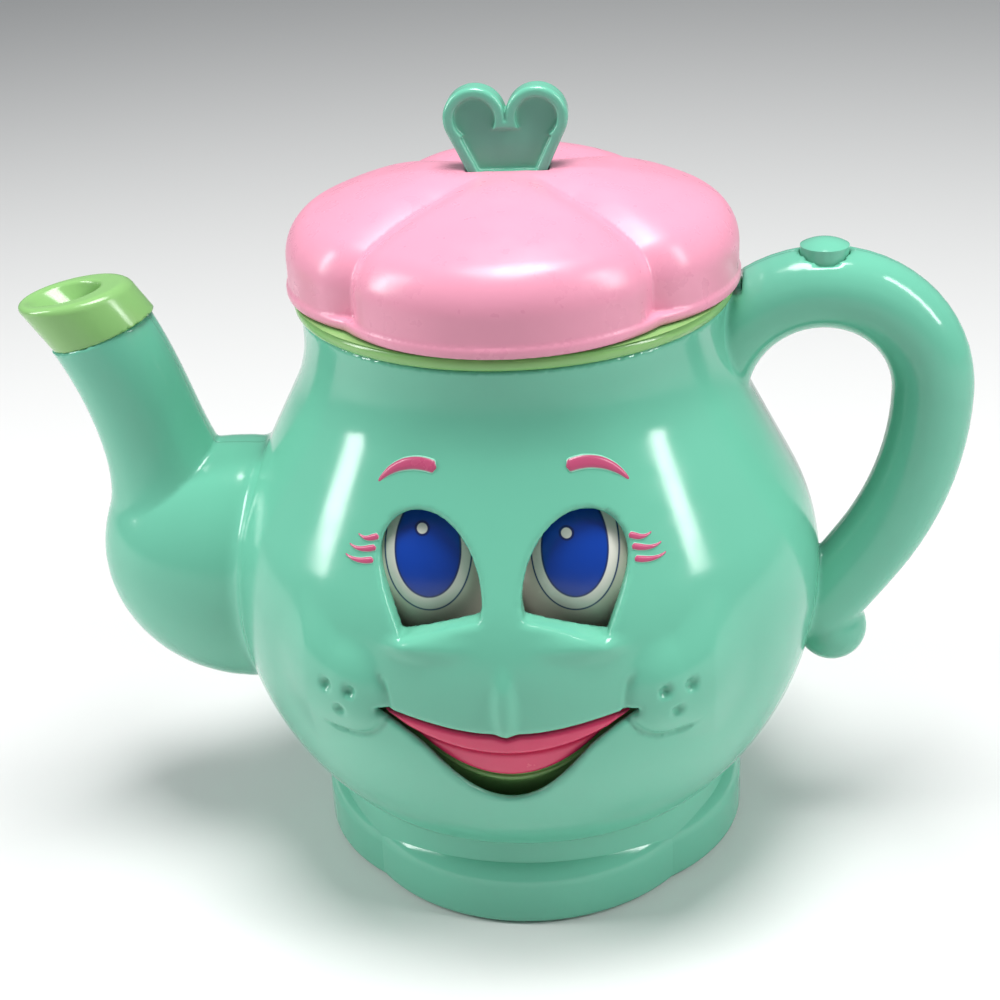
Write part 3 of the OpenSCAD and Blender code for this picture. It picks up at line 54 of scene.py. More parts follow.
def make_camera():
    cam = bpy.data.cameras.new("camera")
    cam.sensor_width = 36.0
    cam.sensor_fit = "HORIZONTAL"
    cam.lens = CAM_LENS
    ob = bpy.data.objects.new("camera", cam)
    bpy.context.scene.collection.objects.link(ob)
    az, el, roll = math.radians(CAM_AZ), math.radians(CAM_EL), math.radians(CAM_ROLL)
    away = Vector((math.sin(az) * math.cos(el), -math.cos(az) * math.cos(el), math.sin(el)))
    ob.location = CAM_TARGET + away * CAM_D
    turn = (-away).to_track_quat("-Z", "Y").to_matrix().to_4x4()
    ob.matrix_world = Matrix.Translation(ob.location) @ turn @ Matrix.Rotation(roll, 4, "Z")
    bpy.context.scene.camera = ob


make_camera()

# Sizes of the solids, in millimetres
WALL = 2.4
BELLY_R, BELLY_Z = 75.0, 75.0
SHOULDER_R, NECK_R, NECK_Z, NECK_ARC = 52.0, 51.2, 141.0, 32.0
NECK_REACH = 78.0
RIM_Z, SKIRT_Z = 147.0, 24.0
SHOULDER_C = np.array([BELLY_R - SHOULDER_R, BELLY_Z])
NECK_C = np.array([NECK_R + NECK_ARC, NECK_Z])
LINK = NECK_C - SHOULDER_C
FLANK = math.atan2(LINK[1], LINK[0]) - math.acos((SHOULDER_R + NECK_ARC) / np.hypot(*LINK))
FLANK_DIR = np.array([math.cos(FLANK), math.sin(FLANK)])
FLANK_LOW = SHOULDER_C + FLANK_DIR * SHOULDER_R
FLANK_HIGH = NECK_C - FLANK_DIR * NECK_ARC


def length(*parts):
    total = parts[0] * parts[0]
    for p in parts[1:]:
        total = total + p * p
    return np.sqrt(total)


def smin(a, b, k):
    h = np.clip(0.5 + 0.5 * (b - a) / k, 0.0, 1.0)
    return b + (a - b) * h - k * h * (1.0 - h)


def smax(a, b, k):
    return -smin(-a, -b, k)


def round_max(a, b, r):
    """Intersection of two solids whose common edge is rounded to radius r."""
    return np.minimum(np.maximum(a, b), -r) + length(np.maximum(a + r, 0.0), np.maximum(b + r, 0.0))


def pot(x, y, z):
    r = length(x, y)
    zz = z + 0.0 * r
    ball = length(r, zz - BELLY_Z) - BELLY_R
    shoulder = length(r - SHOULDER_C[0], zz - BELLY_Z) - SHOULDER_R
    flank = (r - FLANK_LOW[0]) * FLANK_DIR[0] + (zz - FLANK_LOW[1]) * FLANK_DIR[1]
    neck = np.maximum(NECK_ARC - length(r - NECK_C[0], zz - NECK_C[1]), r - NECK_REACH)
    return np.where(
        zz < BELLY_Z, ball, np.where(zz < FLANK_LOW[1], shoulder, np.where(zz < FLANK_HIGH[1], flank, neck))
    )


def bezier(p, t):
    t = np.asarray(t)[..., None]
    p = [np.asarray(q, float) for q in p]
    return (1 - t) ** 3 * p[0] + 3 * (1 - t) ** 2 * t * p[1] + 3 * (1 - t) * t**2 * p[2] + t**3 * p[3]


# Spout: a bent tube that flares into the belly
SPOUT_LEAN = math.radians(34.5)
SPOUT_DIR = np.array([-math.sin(SPOUT_LEAN), math.cos(SPOUT_LEAN)])
SPOUT_TOP = np.array([-109.4, 149.0])
SPOUT_SINK, SPOUT_LEAD_IN, SPOUT_LEAD_OUT = 3.5, 24.6, 43.0
SPOUT_ROOT = np.array([SPOUT_SINK - BELLY_R, BELLY_Z])
SPOUT_PATH = [
    SPOUT_ROOT,
    SPOUT_ROOT - [SPOUT_LEAD_IN, 0],
    SPOUT_TOP - SPOUT_LEAD_OUT * SPOUT_DIR,
    SPOUT_TOP,
]
SPOUT_ROOT_R, SPOUT_TOP_R = 33.0, 13.0
SPOUT_NARROWING, SPOUT_NEAR_X = 0.2, -45.0
TIP_H = 12.0
TIP_JOINT = SPOUT_TOP - TIP_H * SPOUT_DIR


SPOUT_T = np.linspace(0.0, 1.0, 41)
SPOUT_POINTS = bezier(SPOUT_PATH, SPOUT_T)


def spout_tube(x, y, z):
    """Union of round slices along the spout, a little narrower across than in height."""
    best = np.full(np.broadcast(x, y, z).shape, 1e3)
    for i in range(len(SPOUT_POINTS) - 1):
        a, b = SPOUT_POINTS[i], SPOUT_POINTS[i + 1]
        d = b - a
        u = np.clip(((x - a[0]) * d[0] + (z - a[1]) * d[1]) / (d @ d), 0.0, 1.0)
        flat = (x - a[0] - u * d[0]) ** 2 + (z - a[1] - u * d[1]) ** 2
        t = SPOUT_T[i] + u * (SPOUT_T[i + 1] - SPOUT_T[i])
        blend = ((1 - t) ** 2 * (1 + 2 * t)) ** 3
        r = SPOUT_TOP_R + (SPOUT_ROOT_R - SPOUT_TOP_R) * blend
        best = np.minimum(best, np.sqrt(flat + (y / (1.0 - SPOUT_NARROWING * blend)) ** 2) - r)
    return best


def spout(x, y, z):
    out = np.full(np.broadcast(x, y, z).shape, 60.0)
    if x.ndim == 3:
        near = x[:, 0, 0] < SPOUT_NEAR_X
        out[near] = spout_tube(x[near], y, z)
    else:
        near = x < SPOUT_NEAR_X
        out[near] = spout_tube(x[near], y[near], z[near])
    return out


# Handle: a bend, a long sweep and a tail, as one flat path
def arc_points(c, r, a0, a1, n):
    a = np.radians(np.linspace(a0, a1, n))
    return np.stack([c[0] + r * np.cos(a), c[1] + r * np.sin(a)], -1)


HANDLE_C = np.array([74.0, 119.5])
HANDLE_BEND, HANDLE_SWEEP = 27.2, 74.4
SWEEP_C = np.array([HANDLE_C[0] + HANDLE_BEND - HANDLE_SWEEP, HANDLE_C[1]])
SWEEP_END, TAIL_L, TAIL_BEND = -35.0, 20.0, 4 * HANDLE_SWEEP
TAIL_DIR = np.array([math.cos(math.radians(SWEEP_END)), math.sin(math.radians(SWEEP_END))])
TAIL_C = SWEEP_C + (HANDLE_SWEEP - TAIL_BEND) * TAIL_DIR
TAIL_END = SWEEP_END - math.degrees(TAIL_L / TAIL_BEND)
HANDLE_ROOT_ANGLE, HANDLE_CORE_ANGLE = 165.0, 118.0


def handle_points(root_angle):
    return np.concatenate(
        [
            arc_points(HANDLE_C, HANDLE_BEND, root_angle, 0, 28),
            arc_points(SWEEP_C, HANDLE_SWEEP, 0, SWEEP_END, 12)[1:],
            arc_points(TAIL_C, TAIL_BEND, SWEEP_END, TAIL_END, 4)[1:],
        ]
    )


HANDLE_POINTS = handle_points(HANDLE_ROOT_ANGLE)
HANDLE_CORE_POINTS = handle_points(HANDLE_CORE_ANGLE)
HANDLE_R = 9.8
LID_ROOM_R = 54.8


def tube(path, x, y, z, r):
    """A round tube of radius r along a flat path."""
    flat = np.full(np.broadcast(x, z).shape, 1e9)
    for a, b in zip(path[:-1], path[1:]):
        d = b - a
        u = np.clip(((x - a[0]) * d[0] + (z - a[1]) * d[1]) / (d @ d), 0.0, 1.0)
        flat = np.minimum(flat, length(x - a[0] - u * d[0], z - a[1] - u * d[1]))
    return length(flat, y) - r


BALL_Z, BALL_R, BALL_SINK = 54.0, 9.0, 2.0
BALL_X = math.sqrt(BELLY_R**2 - (BALL_Z - BELLY_Z) ** 2) + BALL_R - BALL_SINK


# Flat outlines of the face, across and up
def polygon_distance(points, x, z):
    """Signed distance to a closed outline, negative inside."""
    best = np.full(np.broadcast(x, z).shape, 1e9)
    inside = np.zeros(best.shape, bool)
    n = len(points)
    for i in range(n):
        a, b = points[i], points[(i + 1) % n]
        d = b - a
        u = np.clip(((x - a[0]) * d[0] + (z - a[1]) * d[1]) / max(d @ d, 1e-9), 0.0, 1.0)
        best = np.minimum(best, length(x - a[0] - u * d[0], z - a[1] - u * d[1]))
        if abs(d[1]) > 1e-9:
            crossing = ((a[1] > z) != (b[1] > z)) & (x < d[0] * (z - a[1]) / d[1] + a[0])
            inside = inside ^ crossing
    return np.where(inside, -best, best)


def curve(points, n=12):
    return list(bezier(points, np.linspace(0, 1, n + 1)[:-1]))


EYE_X, EYE_W, EYE_Z, EYE_H = 16.0, 23.2, 90.3, 25.7


def eye_outline():
    def p(u, v):
        return np.array([EYE_X + u * EYE_W, EYE_Z + v * EYE_H])

    return np.array(
        [p(0.297, 0), p(-0.474, 0.19)]
        + curve([p(-0.5, 0.3), p(-0.5, 0.68), p(-0.235, 1), p(0.065, 1)])
        + curve([p(0.065, 1), p(0.305, 1), p(0.5, 0.82), p(0.5, 0.6)])
        + curve([p(0.5, 0.6), p(0.5, 0.4), p(0.377, 0.2), p(0.297, 0)])
    )


MOUTH_W, MOUTH_Z, MOUTH_H = 59.4, 48.0, 24.4


def mouth_outline():
    def p(u, v):
        return np.array([u * MOUTH_W, MOUTH_Z + v * MOUTH_H])

    right = (
        [p(0, 0.783)]
        + list(bezier([p(0.05, 0.828), p(0.2, 0.828), p(0.36, 0.95), p(0.5, 1)], np.linspace(0, 1, 13)))
        + curve([p(0.5, 0.96), p(0.43, 0.87), p(0.36, 0.75), p(0.313, 0.63)])
        + curve([p(0.313, 0.63), p(0.22, 0.36), p(0.13, 0), p(0, 0)])
    )
    right = np.array(right + [p(0, 0)])
    left = right[1:-1][::-1] * [-1, 1]
    return np.concatenate([right, left])


EYE_OUTLINE = eye_outline()
MOUTH_OUTLINE = mouth_outline()
CHEEK_ANGLE = math.radians(30.0)
CHEEK_DIR = np.array([math.sin(CHEEK_ANGLE), -math.cos(CHEEK_ANGLE)])
CHEEK_SIDE = np.array([math.cos(CHEEK_ANGLE), math.sin(CHEEK_ANGLE)])
CHEEK_R, CHEEK_OUT, CHEEK_Z, CHEEK_EDGE = 20.0, 3.0, 74.4, 11.6
CHEEK_C = (BELLY_R + CHEEK_OUT - CHEEK_R) * CHEEK_DIR
PIT_D, PIT_R, PIT_OUT = 4.0, 1.7, 0.3


# How softly each form runs into the pot
SPOUT_BLEND, HANDLE_BLEND, BALL_BLEND = 3.0, 1.2, 1.0
CHEEK_BLEND, CHEEK_FADE, CHEEK_FADE_X, CHEEK_FADE_W = 1.0, 7.0, 38.0, 9.0
GROOVE_R, GROOVE_FADE, GROOVE_BLEND = 0.8, 3.0, 0.6
POUCH_X, POUCH_Y, POUCH_Z, POUCH_R, POUCH_STRETCH, POUCH_BLEND = 14.6, -69.2, 88.4, 3.2, 3.1, 2.0
RIDGE_SINK, RIDGE_Z, RIDGE_R, RIDGE_STRETCH, RIDGE_BLEND = 1.1, 75.5, 2.5, 3.0, 1.5
FACE_Y = -45.0


def cheek_groove(d, across, below):
    """Groove round the inner and lower edge of a cheek, fading out elsewhere."""
    facing = np.clip((-0.75 * across - 0.66 * below) / CHEEK_EDGE + 0.1, 0.0, 0.5)
    return length(length(across, below) - CHEEK_EDGE, d) - GROOVE_R + GROOVE_FADE * (0.5 - facing)


def outside(x, y, z):
    """Outside of the pot with spout, handle, ball and the moulded face, as one solid."""
    d = np.maximum(pot(x, y, z), z - RIM_Z)
    d = smin(d, spout(x, y, z), SPOUT_BLEND)
    lid_room = np.minimum(z - RIM_Z, LID_ROOM_R - length(x, y))
    root = np.maximum(tube(HANDLE_POINTS, x, y, z, HANDLE_R), lid_room)
    d = smin(d, root, HANDLE_BLEND)
    d = smin(d, length(x - BALL_X, y, z - BALL_Z) - BALL_R, BALL_BLEND)
    ax = np.abs(x)
    cheek = length(ax - CHEEK_C[0], y - CHEEK_C[1], z - CHEEK_Z) - CHEEK_R
    outward = np.clip((ax - CHEEK_FADE_X) / CHEEK_FADE_W, 0.0, 1.0)
    d = smin(d, cheek, CHEEK_BLEND + CHEEK_FADE * outward)
    across = (ax - CHEEK_C[0]) * CHEEK_SIDE[0] + (y - CHEEK_C[1]) * CHEEK_SIDE[1]
    groove = cheek_groove(d, across, z - CHEEK_Z)
    d = np.where(y < FACE_Y, smax(d, -groove, GROOVE_BLEND), d)
    pouch = length((ax - POUCH_X) / POUCH_STRETCH, y - POUCH_Y, z - POUCH_Z) - POUCH_R
    d = smin(d, pouch, POUCH_BLEND)
    ridge = length(x, y + BELLY_R - RIDGE_SINK, (z - RIDGE_Z) / RIDGE_STRETCH) - RIDGE_R
    return smin(d, ridge, RIDGE_BLEND)


SCREW_PLACES = ((52.0, 118.0), (57.0, 47.0))
BOSS_R, WELL_R, SCREW_SEAT = 4.0, 3.1, 6.0
SPEAKER_Z, GRILLE_R, GRILLE_STEP, GRILLE_TURN = 78.0, 1.3, 5.2, 7.0


def grille_holes():
    holes = [(0.0, SPEAKER_Z)]
    for ring in (1, 2, 3):
        for i in range(6 * ring):
            a = math.radians(60.0 * i / ring + GRILLE_TURN)
            holes.append((ring * GRILLE_STEP * math.cos(a), SPEAKER_Z - ring * GRILLE_STEP * math.sin(a)))
    return holes


GRILLE_HOLES = grille_holes()


RETURN_T, RETURN_TOP, RETURN_DEPTH, RETURN_ROUND = 1.2, 1.5, 3.0, 0.9
WINDOW_ROUND, MOUTH_ROUND, PIT_ROUND, HOLE_ROUND = 1.6, 1.8, 0.4, 0.4
FRONT_Y, BOSS_FOOT = -20.0, 1.5
BUTTON_X, BUTTON_HOLE_R, BUTTON_HOLE_Z = 74.0, 6.1, 146.7
TIP_SIDE_X, JOINT_TILT = -80.0, math.radians(18.0)


def cut_face(wall, x, y, z):
    """Eye windows with their return walls, the mouth opening and the pits of the cheeks."""
    ax = np.abs(x)
    front = y - FRONT_Y
    window = polygon_distance(EYE_OUTLINE, ax, z)
    wall = smax(wall, -np.maximum(window, front), WINDOW_ROUND)
    depth = pot(x, y, z)
    ends = np.maximum(depth + RETURN_TOP, -(depth + WALL + RETURN_DEPTH))
    band = round_max(np.abs(window - RETURN_T) - RETURN_T, ends, RETURN_ROUND)
    wall = np.minimum(wall, np.maximum(band, front))
    mouth = polygon_distance(MOUTH_OUTLINE, x, z)
    wall = smax(wall, -np.maximum(mouth, front), MOUTH_ROUND)
    for k in range(3):
        a = math.radians(120 * k + 30)
        way = np.append(CHEEK_R * CHEEK_DIR + PIT_D * math.cos(a) * CHEEK_SIDE, PIT_D * math.sin(a))
        way = way * (CHEEK_R + PIT_OUT) / np.linalg.norm(way)
        pit = length(ax - CHEEK_C[0] - way[0], y - CHEEK_C[1] - way[1], z - CHEEK_Z - way[2]) - PIT_R
        wall = smax(wall, -pit, PIT_ROUND)
    return wall


def cut_rear(wall, x, y, z):
    """Screw wells and the speaker's grille."""
    well = np.full(np.broadcast(x, z).shape, 1e3)
    for sx, sz in SCREW_PLACES:
        well = np.minimum(well, length(np.abs(x) - sx, z - sz))
    boss = np.maximum(np.maximum(well - BOSS_R, BOSS_FOOT - y), pot(x, y, z) + WALL / 2)
    wall = np.minimum(wall, boss)
    wall = np.maximum(wall, -np.maximum(well - WELL_R, SCREW_SEAT - y))
    hole = np.full(np.broadcast(x, z).shape, 1e3)
    for hx, hz in GRILLE_HOLES:
        hole = np.minimum(hole, length(x - hx, z - hz))
    return smax(wall, -np.maximum(hole - GRILLE_R, -y), HOLE_ROUND)


def cut_ends(wall, x, y, z):
    """Skirt, rim, button hole and the joint with the spout's ring."""
    wall = np.maximum(wall, SKIRT_Z - z)
    wall = np.maximum(wall, np.minimum(z - RIM_Z, LID_ROOM_R - length(x, y)))
    wall = np.maximum(wall, -np.maximum(length(x - BUTTON_X, y) - BUTTON_HOLE_R, BUTTON_HOLE_Z - z))
    joint = (x - TIP_JOINT[0]) * -math.sin(JOINT_TILT) + (z - TIP_JOINT[1]) * math.cos(JOINT_TILT)
    return np.where(x < TIP_SIDE_X, np.maximum(wall, joint + 0 * wall), wall)


def shell(x, y, z):
    """Wall of the pot, spout and handle with all its openings."""
    inner = pot(x, y, z) + WALL
    inner = np.minimum(inner, spout(x, y, z) + WALL)
    inner = np.minimum(inner, tube(HANDLE_CORE_POINTS, x, y, z, HANDLE_R - WALL))
    wall = np.maximum(outside(x, y, z), -inner)
    wall = cut_face(wall, x, y, z)
    wall = cut_rear(wall, x, y, z)
    return cut_ends(wall, x, y, z)


# Meshing of a distance field
def evaluate(fn, p, chunk=150000):
    out = np.empty(len(p))
    for i in range(0, len(p), chunk):
        q = p[i : i + chunk]
        out[i : i + chunk] = fn(q[:, 0], q[:, 1], q[:, 2])
    return out


PROBE = 0.15


def mesh_field(fn, lo, hi, h, steps=2):
    """Quads on the surface of a field, drawn onto it by a few Newton steps."""
    lo = np.asarray(lo, float)
    n = np.ceil((np.asarray(hi) - lo) / h).astype(int) + 1
    x = (lo[0] + h * np.arange(n[0]))[:, None, None]
    y = (lo[1] + h * np.arange(n[1]))[None, :, None]
    z = (lo[2] + h * np.arange(n[2]))[None, None, :]
    field = np.broadcast_to(fn(x, y, z), n).astype(np.float32)
    band = np.float32(3.0 * h)
    grid = openvdb.FloatGrid(float(band))
    grid.copyFromArray(np.ascontiguousarray(np.clip(field, -band, band)))
    points, quads = grid.convertToQuads()
    p = lo + h * np.asarray(points, float)
    for _ in range(steps):
        d = evaluate(fn, p)
        g = np.stack([evaluate(fn, p + e) - evaluate(fn, p - e) for e in PROBE * np.eye(3)], -1)
        g = g / (2 * PROBE)
        step = d[:, None] * g / np.maximum((g * g).sum(1), 0.25)[:, None]
        size = np.maximum(length(step[:, 0], step[:, 1], step[:, 2]), 1e-9)
        p = p - step * np.minimum(1.0, 0.5 * h / size)[:, None]
    return p, np.asarray(quads)[:, ::-1]


def add_mesh(name, points, faces, smooth=True):
    me = bpy.data.meshes.new(name)
    me.from_pydata((points * MM).tolist(), [], faces.tolist() if hasattr(faces, "tolist") else faces)
    me.validate()
    me.update()
    if smooth:
        me.shade_smooth()
    ob = bpy.data.objects.new(name, me)
    bpy.context.scene.collection.objects.link(ob)
    return ob


# Materials
def principled(name):
    m = bpy.data.materials.new(name)
    m.use_nodes = True
    nt = m.node_tree
    bsdf = nt.nodes["Principled BSDF"]
    return m, nt, bsdf


def plastic(name, colour, rough=0.2, vary=0.04, bump=0.02, scale=180.0, coat=0.0):
    """Moulded plastic: faint colour drift, fine mould texture and uneven gloss."""
    m, nt, b = principled(name)
    coord = nt.nodes.new("ShaderNodeTexCoord")
    drift = nt.nodes.new("ShaderNodeTexNoise")
    drift.inputs["Scale"].default_value = 14.0
    drift.inputs["Detail"].default_value = 3.0
    nt.links.new(coord.outputs["Object"], drift.inputs["Vector"])
    ramp = nt.nodes.new("ShaderNodeValToRGB")
    ramp.color_ramp.elements[0].position = 0.3
    ramp.color_ramp.elements[1].position = 0.7
    c = np.array(colour)
    ramp.color_ramp.elements[0].color = (*np.clip(c * (1 - vary), 0, 1), 1)
    ramp.color_ramp.elements[1].color = (*np.clip(c * (1 + vary), 0, 1), 1)
    nt.links.new(drift.outputs["Fac"], ramp.inputs["Fac"])
    nt.links.new(ramp.outputs["Color"], b.inputs["Base Color"])
    fine = nt.nodes.new("ShaderNodeTexNoise")
    fine.inputs["Scale"].default_value = scale
    fine.inputs["Detail"].default_value = 4.0
    nt.links.new(coord.outputs["Object"], fine.inputs["Vector"])
    gloss = nt.nodes.new("ShaderNodeMapRange")
    gloss.inputs["From Min"].default_value = 0.3
    gloss.inputs["From Max"].default_value = 0.7
    gloss.inputs["To Min"].default_value = rough * 0.8
    gloss.inputs["To Max"].default_value = rough * 1.25
    nt.links.new(fine.outputs["Fac"], gloss.inputs["Value"])
    nt.links.new(gloss.outputs["Result"], b.inputs["Roughness"])
    if bump > 0:
        bm = nt.nodes.new("ShaderNodeBump")
        bm.inputs["Strength"].default_value = bump
        bm.inputs["Distance"].default_value = 0.0004
        nt.links.new(fine.outputs["Fac"], bm.inputs["Height"])
        nt.links.new(bm.outputs["Normal"], b.inputs["Normal"])
    b.inputs["Specular IOR Level"].default_value = 0.5
    b.inputs["Coat Weight"].default_value = coat
    b.inputs["Coat Roughness"].default_value = 0.05
    return m


MINT = plastic("mint", (0.150, 0.500, 0.350), rough=0.14)
LIME = plastic("lime", (0.240, 0.480, 0.160), rough=0.2)
PINK = plastic("pink", (0.780, 0.310, 0.430), rough=0.3, vary=0.05)
HOT = plastic("hot_pink", (0.660, 0.042, 0.125), rough=0.22)
WHITE = plastic("white", (0.75, 0.75, 0.68), rough=0.25)
BLACK = plastic("black", (0.02, 0.02, 0.02), rough=0.5)
STEEL = plastic("steel", (0.5, 0.5, 0.5), rough=0.35)
BOARD = plastic("board", (0.03, 0.18, 0.07), rough=0.4)
CELL = plastic("cell", (0.45, 0.3, 0.06), rough=0.3)
BRASS = plastic("brass", (0.62, 0.42, 0.14), rough=0.3)
MOTOR = plastic("motor_steel", (0.36, 0.37, 0.38), rough=0.42, bump=0.05)
for metal in (STEEL, BRASS, MOTOR):
    metal.node_tree.nodes["Principled BSDF"].inputs["Metallic"].default_value = 1.0

SLOTS = {
    "mint_plastic": MINT, "lime_plastic": LIME, "pink_plastic": PINK, "hot_pink_plastic": HOT,
    "eye_plastic": WHITE, "white_plastic": WHITE, "black_plastic": BLACK, "board": BOARD,
    "cell_jacket": CELL, "steel": STEEL, "motor_steel": MOTOR, "brass": BRASS,
}
for sub in frame["record"]["subparts"]:
    me = nodes[sub["node"]].data
    me.materials.clear()
    me.materials.append(SLOTS[sub["material_slot"]])


def dress(ob, material, body, slot, *replaced):
    ob.data.materials.append(material)
    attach(ob, body)
    if replaced:
        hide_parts(*replaced)
    return ob


# Floor and light
def make_stage():
    bpy.ops.mesh.primitive_plane_add(size=6.0, location=(0, 0, -0.0002))
    floor = bpy.context.object
    floor.name = "floor"
    m, nt, b = principled("floor")
    b.inputs["Base Color"].default_value = (0.78, 0.78, 0.77, 1)
    b.inputs["Roughness"].default_value = 0.6
    floor.data.materials.append(m)
    world = bpy.data.worlds.new("world")
    bpy.context.scene.world = world
    world.use_nodes = True
    bg = world.node_tree.nodes["Background"]
    bg.inputs["Color"].default_value = (0.9, 0.95, 1.0, 1)
    bg.inputs["Strength"].default_value = 0.22

    def area(name, loc, to, size, power, colour=(1, 1, 1)):
        li = bpy.data.lights.new(name, "AREA")
        li.shape = "RECTANGLE"
        li.size, li.size_y = size
        li.energy = power
        li.color = colour
        ob = bpy.data.objects.new(name, li)
        bpy.context.scene.collection.objects.link(ob)
        ob.location = loc
        ob.rotation_euler = (Vector(to) - Vector(loc)).to_track_quat("-Z", "Y").to_euler()

    area("top", (0.05, -0.05, 1.1), (0, 0, 0.1), (0.5, 0.4), 11.0)
    area("left", (-0.85, -0.12, 0.55), (0, 0, 0.1), (0.18, 0.6), 5.0)
    area("right", (0.80, -0.22, 0.62), (0, 0, 0.1), (0.14, 0.6), 4.5)


bpy.context.scene.view_settings.view_transform = "Standard"
make_stage()

# Shells: meshed as one, then parted at the joint between front and rear
SHELL_H = 0.9
pts, quads = mesh_field(shell, (-128, -82, 21), (113, 79, 160), SHELL_H)
whole = add_mesh("shell_whole", pts, quads)


def halved(source, name, front):
    bm = bmesh.new()
    bm.from_mesh(source.data)
    geom = bm.verts[:] + bm.edges[:] + bm.faces[:]
    cut = bmesh.ops.bisect_plane(
        bm, geom=geom, plane_co=(0, 0, 0), plane_no=(0, 1 if front else -1, 0), clear_outer=True, dist=1e-7
    )
    edges = [e for e in cut["geom_cut"] if isinstance(e, bmesh.types.BMEdge)]
    bmesh.ops.triangle_fill(bm, edges=edges, use_beauty=True)
    me = bpy.data.meshes.new(name)
    bm.to_mesh(me)
    bm.free()
    me.shade_smooth()
    ob = bpy.data.objects.new(name, me)
    bpy.context.scene.collection.objects.link(ob)
    return ob


front_skin = dress(halved(whole, "front_skin", True), MINT, "pot", "mint_plastic", "front_shell")
rear_skin = dress(halved(whole, "rear_skin", False), MINT, "pot", "mint_plastic", "rear_shell")
bpy.data.objects.remove(whole)

# Heart: an upright plate with a raised rim round a shallow hollow on each face
HEART_W, HEART_LOBE, HEART_SEAT, HEART_TOP, HEART_BASE, HEART_T = 29.0, 7.3, 175.0, 197.0, 16.6, 6.6
HEART_ROUND, HEART_RIM, HEART_HOLLOW = 1.1, 2.475, 2.0
LOBE_C = np.array([HEART_W / 2 - HEART_LOBE, HEART_TOP - HEART_LOBE])
CORNER = np.array([HEART_BASE / 2, HEART_SEAT])
REACH = CORNER - LOBE_C
SLOPE = math.atan2(REACH[1], REACH[0]) + math.acos(HEART_LOBE / np.hypot(*REACH))
SIDE = np.array([math.cos(SLOPE), math.sin(SLOPE)])
HEART_POLY = np.array(
    [
        CORNER,
        LOBE_C + SIDE * HEART_LOBE,
        LOBE_C,
        LOBE_C * [-1, 1],
        (LOBE_C + SIDE * HEART_LOBE) * [-1, 1],
        CORNER * [-1, 1],
    ]
)


def heart2(x, z):
    lobe = length(np.abs(x) - LOBE_C[0], z - LOBE_C[1]) - HEART_LOBE
    return np.minimum(lobe, polygon_distance(HEART_POLY, x, z))


# Lid: four pillowy petals with a slim lip, hollow below
LID_Z, LID_H, LID_D, LID_R = 150.5, 27.5, 12.0, 42.0
LID_DOME, LID_ROUND = 80.0, 12.0
LID_DOME_Z = LID_Z + LID_H - LID_DOME
LID_SX = LID_R - LID_ROUND
LID_SZ = LID_DOME_Z + math.sqrt((LID_DOME - LID_ROUND) ** 2 - LID_SX**2)
LID_TOUCH = math.atan2(LID_SX, LID_SZ - LID_DOME_Z)
LIP_OUT, LIP_H, LIP_ROUND = 0.5, 2.7, 0.8
CREASE_W, CREASE_DROP, CREASE_START, CREASE_FADE = 10.0, 2.4, 6.0, 16.0
PLUG_R, PLUG_T, PLUG_H, POST_R, POST_Z, SLOT_GAP = 41.5, 0.9, 4.0, 9.0, 166.0, 0.3


def petal(r, z):
    dome = length(r, z - LID_DOME_Z) - LID_DOME
    shoulder = length(np.maximum(r - LID_SX, 0.0), z - LID_SZ) - LID_ROUND
    side = r - LID_R
    turn = np.arctan2(r, z - LID_DOME_Z)
    return np.where(z < LID_SZ, side, np.where(turn < LID_TOUCH, dome, shoulder))


def four(fn, x, y, z, d, k):
    out = None
    for cx, cy in ((d, 0), (0, d), (-d, 0), (0, -d)):
        v = fn(length(x - cx, y - cy), z)
        out = v if out is None else smin(out, v, k)
    return out


def lid_lip(r, z):
    return round_max(r - LID_R - LIP_OUT, z - LID_Z - LIP_H, LIP_ROUND)


def lid_field(x, y, z):
    r = length(x, y)
    crease = np.abs(np.abs(x) - np.abs(y)) / math.sqrt(2.0)
    fade = np.clip((r - CREASE_START) / CREASE_FADE, 0.0, 1.0)
    pillow = np.clip(1.0 - crease / CREASE_W, 0.0, 1.0) ** 2 * CREASE_DROP * fade
    top = four(petal, x, y, z, LID_D, 0.9) + pillow
    d = np.minimum(top, four(lid_lip, x, y, z, LID_D, 0.4))
    d = smax(d, LID_Z - z + 0 * d, LIP_ROUND)
    d = np.maximum(d, -(top + WALL))
    under = top + WALL / 2
    plug = np.maximum(np.abs(r - PLUG_R) - PLUG_T, np.maximum(under, LID_Z - PLUG_H - z))
    post = np.maximum(r - POST_R, np.maximum(under, POST_Z - z))
    d = np.minimum(d, np.minimum(plug, post))
    flat = np.abs(y) - HEART_T / 2 - SLOT_GAP
    slot = np.maximum(np.maximum(heart2(x, z) - SLOT_GAP, flat), HEART_SEAT - z)
    return np.maximum(d, -slot)


pts, quads = mesh_field(lid_field, (-57, -57, 144), (57, 57, 181), 0.7)
dress(add_mesh("lid_skin", pts, quads), PINK, "lid", "pink_plastic", "lid")

def heart_field(x, y, z):
    h = heart2(x, z)
    d = round_max(h, np.abs(y) - HEART_T / 2, HEART_ROUND)
    hollow = smax(h + HEART_RIM, HEART_T / 2 - HEART_HOLLOW - np.abs(y), 0.5)
    return smax(d, -hollow, 0.7)


pts, quads = mesh_field(heart_field, (-17, -6, 172), (17, 6, 200), 0.4)
dress(add_mesh("heart_skin", pts, quads), MINT, "lid", "mint_plastic", "heart_knob")

# Ring at the spout's end, with eased edges and a bore
MOUTH_TILT = math.radians(9.0)
TIP_ROUND, TIP_BORE, TIP_ENTRY, TIP_ENTRY_H = 1.8, 6.0, 4.0, 8.0
SPIGOT_R, SPIGOT_L, SPIGOT_LAP = SPOUT_TOP_R - WALL - 2.1, 7.0, 1.0


